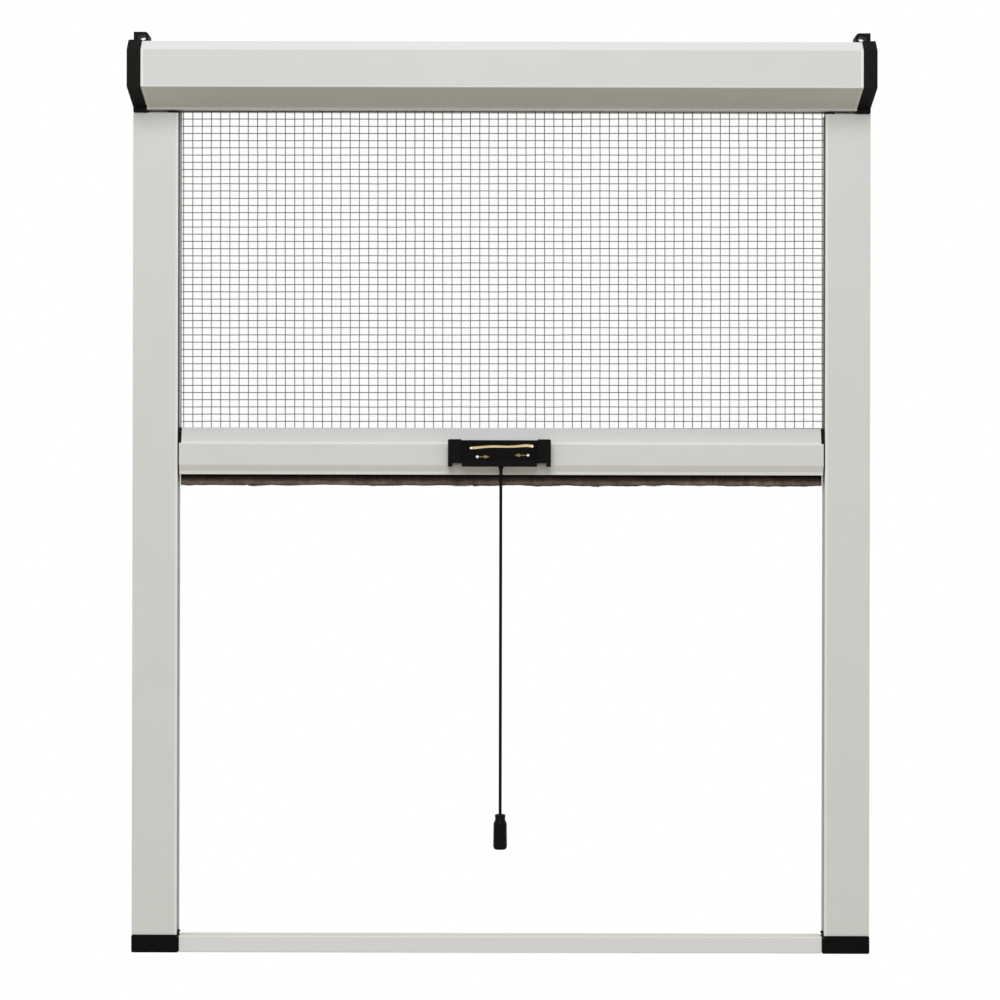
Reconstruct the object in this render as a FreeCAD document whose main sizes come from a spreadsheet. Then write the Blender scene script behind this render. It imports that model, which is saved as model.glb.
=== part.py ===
# A roller insect screen for a window: cassette, side guides, sill bar and a pull bar on a mesh.
# X runs along the cassette, +Y points into the wall behind the screen and +Z points up.
# The origin is midway between the screw slots of the two lugs, in the screen's back plane.
import FreeCAD, Part
import math
import os
import re

import Sketcher

Vector = FreeCAD.Vector
LEFT, RIGHT = -1, 1
SIDES = (("left", LEFT), ("right", RIGHT))

# Driving dimensions in millimetres, written once and kept in the document's sheet.
SIZES = {
    # Whole screen
    "frame_width": 560.0,
    "frame_height": 687.0,
    "slot_above": 7.8,
    "wall": 1.3,
    "fit": 0.2,
    "running": 0.4,
    "edge_round": 0.8,
    # Cassette section
    "cassette_height": 47.3,
    "cassette_depth": 42.0,
    "front_rise": 11.75,
    "lip_height": 1.8,
    "brow_height": 7.8,
    "brow_depth": 6.5,
    "outlet": 5.2,
    "port_inset": 4.3,
    "port_rise": 5.4,
    "port_radius": 3.2,
    "port_bore": 1.55,
    # End caps
    "cap_thick": 10.5,
    "cap_margin": 0.8,
    "cap_drop": 2.5,
    "cap_rim": 4.0,
    "cap_web": 2.6,
    "cap_round": 1.5,
    "rib_thick": 1.8,
    "rib_depth": 5.0,
    "cap_foot_width": 8.4,
    "cap_foot_length": 20.0,
    # Lugs
    "lug_rise": 12.1,
    "lug_width": 11.4,
    "lug_thick": 12.0,
    "lug_round": 3.0,
    "slot_length": 6.3,
    "slot_height": 4.4,
    "slot_inset": 6.2,
    # Cap screws
    "screw_radius": 1.5,
    "screw_length": 20.0,
    "screw_head_radius": 3.2,
    "screw_head_height": 2.2,
    "screw_hole_radius": 1.8,
    # Side guides
    "guide_width": 34.05,
    "guide_depth": 14.0,
    "guide_inset": 0.15,
    "chamber_width": 11.6,
    "mouth_lip": 1.5,
    "groove_width": 4.8,
    "rib_width": 1.2,
    # Pile strips
    "pile_back": 0.8,
    "pile_width": 3.0,
    "pile_gap": 4.0,
    # Feet and sill bar
    "foot_height": 13.4,
    "foot_proud": 0.8,
    "foot_width": 35.9,
    "foot_bevel_width": 3.9,
    "foot_bevel_height": 2.6,
    "foot_round": 1.2,
    "stop_height": 1.8,
    "stop_proud": 1.4,
    "sill_height": 12.5,
    "sill_depth": 12.4,
    "tongue_length": 12.0,
    "tongue_wall": 2.0,
    "spigot_length": 22.0,
    # Roller
    "tube_radius": 9.5,
    "tube_wall": 1.2,
    "roller_gap": 3.0,
    "roller_height": 23.5,
    "roll_radius": 11.0,
    "mesh_inset": 26.0,
    "plug_flange": 2.0,
    "plug_length": 18.0,
    "pin_radius": 3.0,
    "pin_length": 20.0,
    "boss_radius": 6.0,
    "rod_radius": 2.5,
    "rod_length": 190.0,
    "tang_side": 4.0,
    "tang_length": 5.0,
    "anchor_side": 11.2,
    "anchor_length": 14.0,
    "coil_bore": 4.6,
    "wire_width": 1.5,
    "shaft_clearance": 0.05,
    # Mesh
    "strand_width": 0.9,
    "strand_thick": 0.24,
    "tape_width": 9.8,
    "mesh_top": 5.0,
    # Pull bar section
    "bar_drop": 288.5,
    "bar_height": 35.5,
    "bar_front": 15.5,
    "bar_back": 1.5,
    "bar_end_gap": 0.8,
    "bar_top_depth": 12.0,
    "bar_brow_height": 11.9,
    "bar_skirt_height": 7.2,
    "bar_lip_height": 2.3,
    "bar_lip_inset": 2.1,
    "keder_radius": 1.5,
    "keder_clearance": 0.3,
    "keder_mouth": 1.4,
    "keder_depth": 4.2,
    "brush_mouth": 3.6,
    "brush_groove": 7.0,
    "brush_groove_height": 1.6,
    "brush_width": 3.0,
    "brush_reach": 9.3,
    # Pull bar plugs
    "plug_plate": 0.6,
    "plug_head": 1.5,
    "runner_length": 14.0,
    "runner_thick": 3.2,
    "runner_inset": 4.0,
    "plug_depth": 12.0,
    # Handle
    "handle_width": 77.6,
    "handle_height": 20.0,
    "handle_rise": 6.0,
    "handle_depth": 8.4,
    "handle_round": 1.2,
    "handle_left": 1.4,
    "end_block": 9.8,
    "block_proud": 1.6,
    "block_rise": 0.6,
    "bevel": 2.2,
    "window_height": 12.8,
    "window_rise": 5.3,
    "window_depth": 2.0,
    "window_margin": 0.6,
    "plate_thick": 1.4,
    "notch_width": 7.2,
    "notch_height": 2.6,
    "notch_inset": 3.2,
    # Cord and pendant
    "cord_radius": 1.15,
    "cord_front": 5.4,
    "cord_left": 0.3,
    "cord_seat": 5.0,
    "cord_length": 285.1,
    "collar_radius": 1.9,
    "collar_height": 1.4,
    "ferrule_radius": 1.35,
    "ferrule_length": 4.5,
    "knob_height": 27.1,
    "knob_neck_radius": 3.95,
    "knob_neck_height": 5.3,
    "knob_shoulder": 1.9,
    "knob_radius": 5.25,
    "knob_chamfer": 2.3,
    "knob_cavity_radius": 3.2,
    "knob_cavity_height": 9.0,
    "knot_radius": 2.5,
    "knot_height": 4.6,
}
COLUMNS = 12
ROWS = 10

# Places that several pieces share, written with the names of the sizes.
CASSETTE_FLOOR = "(-slot_above - cassette_height)"
SILL_FLOOR = "(-slot_above - frame_height)"
CASSETTE_LENGTH = "(frame_width - 2 * cap_thick)"
CAP_FACE = "(frame_width / 2 - cap_thick)"
GUIDE_OUTSIDE = "(frame_width / 2 - guide_inset)"
GUIDE_MOUTH = "(frame_width / 2 - guide_inset - guide_width)"
GUIDE_TOP = f"({CASSETTE_FLOOR} - cap_drop)"
GUIDE_FLOOR = f"({SILL_FLOOR} + foot_height)"
PILE_FLOOR = f"({GUIDE_FLOOR} + stop_height + fit)"
FOOT_FACE = "(frame_width / 2 - foot_width)"
MESH_PLANE = "(guide_depth / 2)"
MESH_WIDTH = "(frame_width - 2 * mesh_inset)"
ROLLER_DEPTH = f"({MESH_PLANE} + strand_thick + running + roll_radius)"
ROLLER_Z = f"({CASSETTE_FLOOR} + roller_height)"
TUBE_END = f"({CAP_FACE} - rib_depth - roller_gap)"
BAR_TOP = "(-bar_drop - slot_above)"
BAR_FLOOR = f"({BAR_TOP} - bar_height)"
BAR_END = f"({GUIDE_MOUTH} - bar_end_gap - plug_plate)"
CORD_DEPTH = "(bar_front + cord_front)"
CORD_TOP = f"({BAR_FLOOR} + handle_rise)"
KNOB_TOP = f"({CORD_TOP} + cord_seat - cord_length + knob_height - knob_cavity_height + fit)"

doc = FreeCAD.newDocument("roller_insect_screen")
sheet = doc.addObject("Spreadsheet::Sheet", "Sizes")
parts = []


def fill_sheet():
    for row, (alias, size) in enumerate(SIZES.items(), start=1):
        sheet.set(f"A{row}", alias.replace("_", " "))
        sheet.set(f"B{row}", str(size))
        sheet.setAlias(f"B{row}", alias)
    doc.recompute()


def on_sheet(text):
    """The same expression with each size's name pointing at its cell."""
    return re.sub(r"[a-z][a-z_]*", lambda word: word[0] if word[0] not in SIZES else "Sizes." + word[0], text)


def value(text):
    return float(sheet.evalExpression(on_sheet(text)))


def bind(item, name, text):
    item.setExpression(name, on_sheet(text))


def place(item, x="0", y="0", z="0"):
    for axis, text in (("x", x), ("y", y), ("z", z)):
        bind(item, f"Placement.Base.{axis}", text)


# Sketches

def new_body(label):
    body = doc.addObject("PartDesign::Body", label)
    body.Label = label
    parts.append(body)
    return body


def new_sketch(body, plane, lift="0"):
    """A sketch on one of the body's own planes, raised along that plane's normal."""
    outline = body.newObject("Sketcher::SketchObject", body.Name + "_outline")
    datum = [feature for feature in body.Origin.OriginFeatures if feature.Role == plane]
    outline.AttachmentSupport = (datum[0], [""])
    outline.MapMode = "FlatFace"
    bind(outline, "AttachmentOffset.Base.z", lift)
    return outline


def drive(outline, constraints):
    """Adds dimensions given as (kind, first parts of the constraint, expression)."""
    for kind, ends, text in constraints:
        number = outline.addConstraint(Sketcher.Constraint(kind, *ends, value(text)))
        outline.setExpression(f"Constraints[{number}]", on_sheet(text))


def add_loop(outline, corners):
    """A closed run of straight edges, each corner placed from the sheet."""
    spots = [Vector(value(x), value(y), 0) for x, y in corners]
    first, count = outline.GeometryCount, len(corners)
    edges = [Part.LineSegment(spots[i], spots[(i + 1) % count]) for i in range(count)]
    outline.addGeometry(edges, False)
    joins = [Sketcher.Constraint("Coincident", first + i, 2, first + (i + 1) % count, 1) for i in range(count)]
    outline.addConstraint(joins)
    for i, (x, y) in enumerate(corners):
        drive(outline, [("DistanceX", (-1, 1, first + i, 1), x), ("DistanceY", (-1, 1, first + i, 1), y)])


def add_box(outline, x0, y0, x1, y1):
    add_loop(outline, [(x0, y0), (x1, y0), (x1, y1), (x0, y1)])


def add_circle(outline, x, y, radius):
    circle = Part.Circle(Vector(value(x), value(y), 0), Vector(0, 0, 1), value(radius))
    number = outline.addGeometry(circle, False)
    drive(outline, [
        ("DistanceX", (-1, 1, number, 3), x),
        ("DistanceY", (-1, 1, number, 3), y),
        ("Radius", (number,), radius),
    ])


# Features

def add_feature(body, kind, outline, length, backwards):
    """A pad or pocket that has to change the body's volume by more than nothing."""
    doc.recompute()
    before = body.Shape.Volume if body.Tip else 0.0
    feature = body.newObject(f"PartDesign::{kind}", f"{body.Name}_{kind.lower()}")
    feature.Profile = outline
    bind(feature, "Length", length)
    feature.Reversed = backwards
    body.Tip = feature
    doc.recompute()
    change = body.Shape.Volume - before
    if (change <= 0) if kind == "Pad" else (change >= 0):
        raise RuntimeError(f"{feature.Name} changes nothing")


def pad(body, outline, length, backwards=False):
    add_feature(body, "Pad", outline, length, backwards)


def pocket(body, outline, length, backwards=False):
    add_feature(body, "Pocket", outline, length, backwards)


def turn(body, corners, axis):
    """A full turn of an outline on the XZ plane about one of its sketch's own axes."""
    outline = new_sketch(body, "XZ_Plane")
    add_loop(outline, corners)
    feature = body.newObject("PartDesign::Revolution", body.Name + "_turn")
    feature.Profile = outline
    feature.ReferenceAxis = (outline, [axis])
    feature.Angle = 360.0
    body.Tip = feature


def dress(body, kind, setting, size, wanted):
    """A fillet or chamfer on the edges whose middle and direction the test wants."""
    doc.recompute()
    names = []
    for number, edge in enumerate(body.Shape.Edges, start=1):
        middle = edge.valueAt((edge.FirstParameter + edge.LastParameter) / 2)
        if wanted(middle, edge):
            names.append(f"Edge{number}")
    if not names:
        raise RuntimeError(f"{body.Name} has no edge to dress")
    tip = body.Tip
    feature = body.newObject(f"PartDesign::{kind}", f"{body.Name}_{kind.lower()}")
    feature.Base = (tip, names)
    bind(feature, setting, size)
    body.Tip = feature


def along(edge, axis):
    """True for a straight edge that runs along the axis."""
    if not isinstance(edge.Curve, Part.Line):
        return False
    return abs(abs(edge.Curve.Direction.dot(axis)) - 1) < 1e-6


def near(number, text):
    return abs(number - value(text)) < 1e-3


def round_long_edges(body, corners, radius):
    """Rounds edges that run along X at the given (y, z) corners."""
    def wanted(middle, edge):
        if not along(edge, Vector(1, 0, 0)):
            return False
        return any(near(middle.y, y) and near(middle.z, z) for y, z in corners)
    dress(body, "Fillet", "Radius", radius, wanted)


# Cassette

RAMP = "((front_rise - lip_height) / (cassette_depth - guide_depth))"
RAMP_WALL = f"(wall * (sqrt(1 + {RAMP}^2) - {RAMP}))"
BROW = "sqrt(brow_depth^2 + brow_height^2)"
OUTLET_BACK = f"({MESH_PLANE} - outlet / 2)"
OUTLET_FRONT = f"({MESH_PLANE} + outlet / 2)"
PORTS = (
    ("-port_inset", "cassette_height - port_inset"),
    ("-cassette_depth + port_inset", "front_rise + port_rise"),
)


def make_cassette():
    """An open extrusion: sloped underside, bevelled brow, outlet for the mesh and two screw ports."""
    body = new_body("cassette_profile")
    section = new_sketch(body, "YZ_Plane", f"-{CASSETTE_LENGTH} / 2")
    add_loop(section, [
        (f"-{OUTLET_BACK}", "0"),
        ("0", "0"),
        ("0", "cassette_height"),
        ("-cassette_depth + brow_depth", "cassette_height"),
        ("-cassette_depth", "cassette_height - brow_height"),
        ("-cassette_depth", "front_rise"),
        ("-guide_depth", "lip_height"),
        ("-guide_depth", "0"),
        (f"-{OUTLET_FRONT}", "0"),
        (f"-{OUTLET_FRONT}", "wall"),
        ("-guide_depth + wall", "wall"),
        ("-guide_depth + wall", f"lip_height + {RAMP_WALL}"),
        ("-cassette_depth + wall", f"front_rise + {RAMP_WALL}"),
        ("-cassette_depth + wall", f"cassette_height - brow_height - wall * ({BROW} - brow_height) / brow_depth"),
        (f"-cassette_depth + brow_depth + wall * ({BROW} - brow_depth) / brow_height", "cassette_height - wall"),
        ("-wall", "cassette_height - wall"),
        ("-wall", "wall"),
        (f"-{OUTLET_BACK}", "wall"),
    ])
    pad(body, section, CASSETTE_LENGTH)
    ports = new_sketch(body, "YZ_Plane", f"-{CASSETTE_LENGTH} / 2")
    for y, z in PORTS:
        add_circle(ports, y, z, "port_radius")
        add_circle(ports, y, z, "port_bore")
    pad(body, ports, CASSETTE_LENGTH)
    round_long_edges(body, [
        ("-cassette_depth + brow_depth", "cassette_height"),
        ("-cassette_depth", "cassette_height - brow_height"),
        ("-cassette_depth", "front_rise"),
        ("-guide_depth", "lip_height"),
    ], "edge_round")
    place(body, z=CASSETTE_FLOOR)


# End caps

def cap_corners(inset):
    """The cap's outline around the cassette's section, moved in by a size."""
    grow = f"(cap_margin - {inset})"
    return [
        (f"-{inset}", f"{inset} - cap_drop"),
        (f"-{inset}", f"cassette_height + {grow}"),
        (f"-cassette_depth + brow_depth - {grow} / 2", f"cassette_height + {grow}"),
        (f"-cassette_depth - {grow}", f"cassette_height - brow_height + {grow} / 2"),
        (f"-cassette_depth - {grow}", f"front_rise - {grow}"),
        (f"-guide_depth - {grow}", f"lip_height - {grow}"),
        (f"-guide_depth - {grow}", f"{inset} - cap_drop"),
    ]


def make_cap(name, hand):
    """A moulded cap: hollow rim, screw bosses, push-in ribs, roller seat, guide spigot and lug."""
    body = new_body(f"end_cap_{name}")
    inward = hand > 0
    plate = new_sketch(body, "YZ_Plane")
    add_loop(plate, cap_corners("0"))
    pad(body, plate, "cap_thick", backwards=not inward)
    hollow = new_sketch(body, "YZ_Plane")
    add_loop(hollow, cap_corners("cap_rim"))
    pocket(body, hollow, "cap_thick - cap_web", backwards=inward)
    dress(body, "Fillet", "Radius", "cap_round", lambda middle, edge: near(middle.x, f"{hand} * cap_thick"))
    ribs = new_sketch(body, "YZ_Plane", f"-{hand} * rib_depth")
    add_box(ribs, "-wall - fit", "port_inset * 2", "-wall - fit - rib_thick", "cassette_height - port_inset * 2.5")
    add_box(ribs, "-port_inset * 2.5", "cassette_height - wall - fit",
            "-cassette_depth + brow_depth + port_inset", "cassette_height - wall - fit - rib_thick")
    add_box(ribs, "-cassette_depth + wall + fit", "front_rise + port_rise + port_inset",
            "-cassette_depth + wall + fit + rib_thick", "cassette_height - brow_height - rib_thick")
    pad(body, ribs, "rib_depth + cap_thick - cap_web", backwards=not inward)
    bosses = new_sketch(body, "YZ_Plane")
    for y, z in PORTS:
        add_box(bosses, f"{y} - port_radius", f"{z} - port_radius", f"{y} + port_radius", f"{z} + port_radius")
    pad(body, bosses, "cap_thick - cap_web / 2", backwards=not inward)
    seat = new_sketch(body, "YZ_Plane", f"-{hand} * rib_depth")
    add_box(seat, f"-{ROLLER_DEPTH} - boss_radius", "roller_height - boss_radius",
            f"-{ROLLER_DEPTH} + boss_radius", "roller_height + boss_radius")
    pad(body, seat, "rib_depth + cap_thick - cap_web / 2", backwards=not inward)
    screw_holes = new_sketch(body, "YZ_Plane")
    for y, z in PORTS:
        add_circle(screw_holes, y, z, "screw_hole_radius")
    pocket(body, screw_holes, "cap_thick", backwards=inward)
    make_counterbores(body, hand)
    if hand < 0:
        socket = new_sketch(body, "YZ_Plane", f"-{hand} * rib_depth")
        half = "(tang_side / 2 + fit / 2)"
        add_box(socket, f"-{ROLLER_DEPTH} - {half}", f"roller_height - {half}",
                f"-{ROLLER_DEPTH} + {half}", f"roller_height + {half}")
        pocket(body, socket, "tang_length + fit", backwards=inward)
    else:
        pin = new_sketch(body, "YZ_Plane", f"-{hand} * (rib_depth + pin_length)")
        add_circle(pin, f"-{ROLLER_DEPTH}", "roller_height", "pin_radius")
        pad(body, pin, "pin_length + rib_depth", backwards=not inward)
    make_spigot(body, hand)
    make_lug(body, hand)
    place(body, x=f"{hand} * {CAP_FACE}", z=CASSETTE_FLOOR)


def make_counterbores(body, hand):
    """Round seats in the outer face that sink the screw heads."""
    bores = new_sketch(body, "YZ_Plane", f"{hand} * cap_thick")
    for y, z in PORTS:
        add_circle(bores, y, z, "screw_head_radius + fit")
    pocket(body, bores, "screw_head_height + fit", backwards=hand < 0)


def make_spigot(body, hand):
    """The leg that pushes into the guide's closed chamber."""
    leg = new_sketch(body, "XY_Plane", "-cap_drop")
    outside = f"{hand} * (cap_thick - guide_inset - wall - fit)"
    inside = f"{hand} * (cap_thick - guide_inset - wall - fit - cap_foot_width)"
    add_box(leg, outside, "-wall - fit", inside, "-guide_depth + wall + fit")
    pad(body, leg, "cap_foot_length", backwards=True)


def make_lug(body, hand):
    """The ear above the cap, with its inner top corner rounded and a slot for the screw."""
    inside = f"{hand} * (cap_thick - lug_width)"
    ear = new_sketch(body, "XZ_Plane")
    add_box(ear, inside, "cassette_height + fit", f"{hand} * cap_thick", "cassette_height + lug_rise")
    pad(body, ear, "lug_thick")
    dress(body, "Fillet", "Radius", "lug_round", lambda middle, edge: along(edge, Vector(0, 1, 0))
          and near(middle.x, inside) and near(middle.z, "cassette_height + lug_rise"))
    slot = new_sketch(body, "XZ_Plane")
    middle = f"{hand} * (cap_thick - slot_inset)"
    reach = "(slot_length - slot_height) / 2"
    add_slot(slot, middle, "cassette_height + slot_above", reach, "slot_height / 2")
    pocket(body, slot, "lug_thick", backwards=True)


def add_slot(outline, x, y, reach, radius):
    """A slot with round ends along the sketch's first axis."""
    spot = Vector(value(x), value(y), 0)
    step = Vector(value(reach), 0, 0)
    up = Vector(0, value(radius), 0)
    first = outline.GeometryCount
    ends = [Part.Circle(spot + way, Vector(0, 0, 1), value(radius)) for way in (step, -step)]
    outline.addGeometry([
        Part.ArcOfCircle(ends[0], -math.pi / 2, math.pi / 2),
        Part.LineSegment(spot + step + up, spot - step + up),
        Part.ArcOfCircle(ends[1], math.pi / 2, math.pi * 3 / 2),
        Part.LineSegment(spot - step - up, spot + step - up),
    ], False)
    for number in range(4):
        outline.addConstraint(Sketcher.Constraint("Tangent", first + number, 2, first + (number + 1) % 4, 1))
    outline.addConstraint(Sketcher.Constraint("Horizontal", first + 1))
    drive(outline, [
        ("DistanceX", (-1, 1, first, 3), f"{x} + {reach}"),
        ("DistanceY", (-1, 1, first, 3), y),
        ("DistanceX", (first + 2, 3, first, 3), f"2 * {reach}"),
        ("Radius", (first,), radius),
    ])


def make_cap_screws():
    """Four pan head screws through the caps into the cassette's ports."""
    screws = []
    for name, hand in SIDES:
        for y, z in PORTS:
            shank = doc.addObject("Part::Cylinder", "screw_shank")
            bind(shank, "Radius", "screw_radius")
            bind(shank, "Height", "screw_length")
            head = doc.addObject("Part::Cylinder", "screw_head")
            bind(head, "Radius", "screw_head_radius")
            bind(head, "Height", "screw_head_height")
            screw = doc.addObject("Part::Fuse", "screw")
            screw.Base = shank
            screw.Tool = head
            screw.Placement.Rotation = FreeCAD.Rotation(Vector(0, 1, 0), -90 * hand)
            place(screw, f"{hand} * (frame_width / 2 - fit)", y, f"{CASSETTE_FLOOR} + {z}")
            screws.append(screw)
    group = doc.addObject("Part::Compound", "cap_screws")
    group.Label = "cap_screws"
    group.Links = screws
    parts.append(group)


# Side guides, pile strips, feet and sill bar

def make_guide(name, hand):
    """A closed chamber towards the wall, and a channel whose mouth holds two pile grooves."""
    body = new_body(f"side_guide_{name}")
    inner = "(chamber_width + 2 * wall)"
    rib_from = "(guide_width - wall - groove_width - rib_width)"
    rib_to = "(guide_width - wall - groove_width)"
    lip = "(wall + mouth_lip)"
    half = [
        ("0", "0"),
        ("guide_width", "0"),
        ("guide_width", lip),
        ("guide_width - wall", lip),
        ("guide_width - wall", "wall"),
        (rib_to, "wall"),
        (rib_to, lip),
        (rib_from, lip),
        (rib_from, "wall"),
        (inner, "wall"),
    ]
    back = [(f"-{hand} * ({u})", f"-({v})") for u, v in half]
    front = [(f"-{hand} * ({u})", f"-guide_depth + {v}") for u, v in reversed(half)]
    section = new_sketch(body, "XY_Plane")
    add_loop(section, back + front)
    add_box(section, f"-{hand} * wall", "-wall", f"-{hand} * (wall + chamber_width)", "-guide_depth + wall")
    pad(body, section, f"{GUIDE_TOP} - {GUIDE_FLOOR}")
    place(body, x=f"{hand} * {GUIDE_OUTSIDE}", z=GUIDE_FLOOR)


def make_pile(name, hand, face):
    """A strip of pile in one groove of a guide's mouth."""
    body = new_body(f"guide_pile_{name}_{face}")
    middle = f"{hand} * ({GUIDE_MOUTH} + wall + groove_width / 2)"
    section = new_sketch(body, "XY_Plane")
    half_back = "(groove_width / 2 - fit / 2)"
    half_pile = "pile_width / 2"
    tip = "((guide_depth - pile_gap) / 2)"
    corners = [
        (f"-{half_back}", "wall"),
        (half_back, "wall"),
        (half_back, "wall + pile_back"),
        (half_pile, "wall + pile_back"),
        (half_pile, tip),
        (f"-{half_pile}", tip),
        (f"-{half_pile}", "wall + pile_back"),
        (f"-{half_back}", "wall + pile_back"),
    ]
    if face == "front":
        corners = [(x, f"-guide_depth + {y}") for x, y in corners]
    else:
        corners = [(x, f"-({y})") for x, y in corners]
    add_loop(section, corners)
    pad(body, section, f"{GUIDE_TOP} - {PILE_FLOOR}")
    place(body, x=middle, z=PILE_FLOOR)


def make_foot(name, hand):
    """A moulded foot: block under the guide, spigot up into it and tongue into the sill bar."""
    body = new_body(f"foot_{name}")
    inner = f"-{hand} * foot_width"
    block = new_sketch(body, "XZ_Plane")
    add_loop(block, [
        ("0", "0"),
        (inner, "0"),
        (inner, "foot_height - foot_bevel_height"),
        (f"-{hand} * (foot_width - foot_bevel_width)", "foot_height"),
        ("0", "foot_height"),
    ])
    pad(body, block, "guide_depth + foot_proud")
    dress(body, "Fillet", "Radius", "foot_round", lambda middle, edge: along(edge, Vector(0, 1, 0))
          and (near(middle.x, "0") or near(middle.z, "0")))
    stop = new_sketch(body, "XY_Plane", "foot_height")
    nose = f"-{hand} * (guide_inset + guide_width + stop_proud)"
    add_box(stop, nose, "-wall - mouth_lip - fit",
            f"-{hand} * (guide_inset + chamber_width + 2 * wall + fit)", "-guide_depth + wall + mouth_lip + fit")
    pad(body, stop, "stop_height")
    dress(body, "Fillet", "Radius", "stop_height * 0.48", lambda middle, edge: near(middle.x, nose)
          and along(edge, Vector(0, 1, 0)))
    spigot = new_sketch(body, "XY_Plane", "foot_height")
    add_box(spigot, f"-{hand} * (guide_inset + wall + fit)", "-wall - fit",
            f"-{hand} * (guide_inset + wall + chamber_width - fit)", "-guide_depth + wall + fit")
    pad(body, spigot, "spigot_length")
    tongue = new_sketch(body, "YZ_Plane", inner)
    add_box(tongue, "-guide_depth + wall + fit", "wall + fit",
            "-guide_depth + sill_depth - wall - fit", "sill_height - wall - fit")
    add_box(tongue, "-guide_depth + wall + fit + tongue_wall", "wall + fit + tongue_wall",
            "-guide_depth + sill_depth - wall - fit - tongue_wall", "sill_height - wall - fit - tongue_wall")
    pad(body, tongue, "tongue_length", backwards=hand > 0)
    place(body, x=f"{hand} * frame_width / 2", z=SILL_FLOOR)


def make_sill():
    """The hollow bar between the feet."""
    body = new_body("sill_bar")
    section = new_sketch(body, "YZ_Plane", f"-{FOOT_FACE} + fit")
    add_box(section, "-guide_depth", "0", "-guide_depth + sill_depth", "sill_height")
    add_box(section, "-guide_depth + wall", "wall", "-guide_depth + sill_depth - wall", "sill_height - wall")
    pad(body, section, f"2 * ({FOOT_FACE} - fit)")
    round_long_edges(body, [("-guide_depth", "sill_height"), ("-guide_depth", "0")], "edge_round")
    place(body, z=SILL_FLOOR)


# Roller, its spring and the mesh

def turned(label, rings):
    """A round piece about the roller's axis, made of (from X, to X, radius, bore) stretches."""
    body = new_body(label)
    for low, high, outer, bore in rings:
        outline = new_sketch(body, "YZ_Plane", low)
        add_circle(outline, "0", "0", outer)
        if bore:
            add_circle(outline, "0", "0", bore)
        pad(body, outline, f"({high}) - ({low})")
    place(body, y=f"-{ROLLER_DEPTH}", z=ROLLER_Z)
    return body


def make_roller():
    """The winding tube with its bush and spring head, and the turns of mesh on it."""
    bore = "(tube_radius - tube_wall)"
    turned("roller_tube", [(f"-{TUBE_END}", TUBE_END, "tube_radius", bore)])
    turned("mesh_roll", [(f"-{MESH_WIDTH} / 2", f"{MESH_WIDTH} / 2", "roll_radius", "tube_radius")])
    on_pin = "pin_radius + shaft_clearance"
    on_rod = "rod_radius + shaft_clearance"
    turned("roller_bush", [
        (f"{TUBE_END} - plug_length", TUBE_END, bore, on_pin),
        (TUBE_END, f"{TUBE_END} + plug_flange", "tube_radius", on_pin),
    ])
    turned("spring_head", [
        (f"-{TUBE_END} - plug_flange", f"-{TUBE_END}", "tube_radius", on_rod),
        (f"-{TUBE_END}", f"-{TUBE_END} + plug_length", bore, on_rod),
    ])


def make_spring():
    """The fixed rod, its anchor, and the close wound spring between anchor and head as its outer form."""
    start = f"-{CAP_FACE} + rib_depth"
    rod = turned("spring_rod", [(start, f"{start} + rod_length", "rod_radius", None)])
    tang = new_sketch(rod, "YZ_Plane", f"{start} - tang_length")
    add_box(tang, "-tang_side / 2", "-tang_side / 2", "tang_side / 2", "tang_side / 2")
    pad(rod, tang, "tang_length")
    end = f"{start} + rod_length"
    anchor = new_body("spring_anchor")
    block = new_sketch(anchor, "YZ_Plane", f"{end} - anchor_length")
    add_box(block, "-anchor_side / 2", "-anchor_side / 2", "anchor_side / 2", "anchor_side / 2")
    add_circle(block, "0", "0", "rod_radius")
    pad(anchor, block, "anchor_length")
    place(anchor, y=f"-{ROLLER_DEPTH}", z=ROLLER_Z)
    first = f"-{TUBE_END} + plug_length + running"
    last = f"{end} - anchor_length - fit / 2"
    turned("torsion_spring", [(first, last, "coil_bore + wire_width", "coil_bore")])


def make_mesh():
    """The hanging mesh: upright strands in front of level ones, and a tape along each side, in one piece."""
    top = f"({ROLLER_Z} + mesh_top)"
    floor = f"({BAR_TOP} - keder_depth + keder_radius)"
    strands = []
    for number in range(COLUMNS + 1):
        width = "tape_width" if number in (0, COLUMNS) else "strand_width"
        strand = doc.addObject("Part::Box", "upright_strand")
        bind(strand, "Length", width)
        bind(strand, "Width", "strand_thick")
        bind(strand, "Height", f"{top} - {floor}")
        place(strand, f"({MESH_WIDTH} - tape_width) * ({number} / {COLUMNS} - 1 / 2) - {width} / 2",
              f"-{MESH_PLANE} - strand_thick", floor)
        strands.append(strand)
    for number in range(ROWS + 1):
        strand = doc.addObject("Part::Box", "level_strand")
        bind(strand, "Length", MESH_WIDTH)
        bind(strand, "Width", "strand_thick")
        bind(strand, "Height", "strand_width")
        place(strand, f"-{MESH_WIDTH} / 2", f"-{MESH_PLANE}",
              f"{floor} + ({top} - {floor} - strand_width) * {number} / {ROWS}")
        strands.append(strand)
    mesh = doc.addObject("Part::MultiFuse", "screen_mesh")
    mesh.Label = "screen_mesh"
    mesh.Shapes = strands
    parts.append(mesh)


# Pull bar

BROW_FLOOR = "(bar_height - bar_brow_height)"
BAR_CORNERS = [
    ("-bar_back", "0"),
    ("-bar_back", "bar_height"),
    ("-bar_top_depth", "bar_height"),
    ("-bar_front", BROW_FLOOR),
    ("-bar_front", "bar_skirt_height"),
    ("-bar_front + bar_lip_inset", "bar_lip_height"),
    ("-bar_front + bar_lip_inset", "0"),
]
KEDER_Z = "(bar_height - keder_depth)"
KEDER_BORE = "(keder_radius + keder_clearance)"
CHAMBER_FLOOR = "(2 * wall + brush_groove_height)"
CHAMBER_TOP = f"({KEDER_Z} - {KEDER_BORE} - wall)"
HEAD_BACK = f"(-{MESH_PLANE} - {KEDER_BORE} - wall / 2)"


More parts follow.
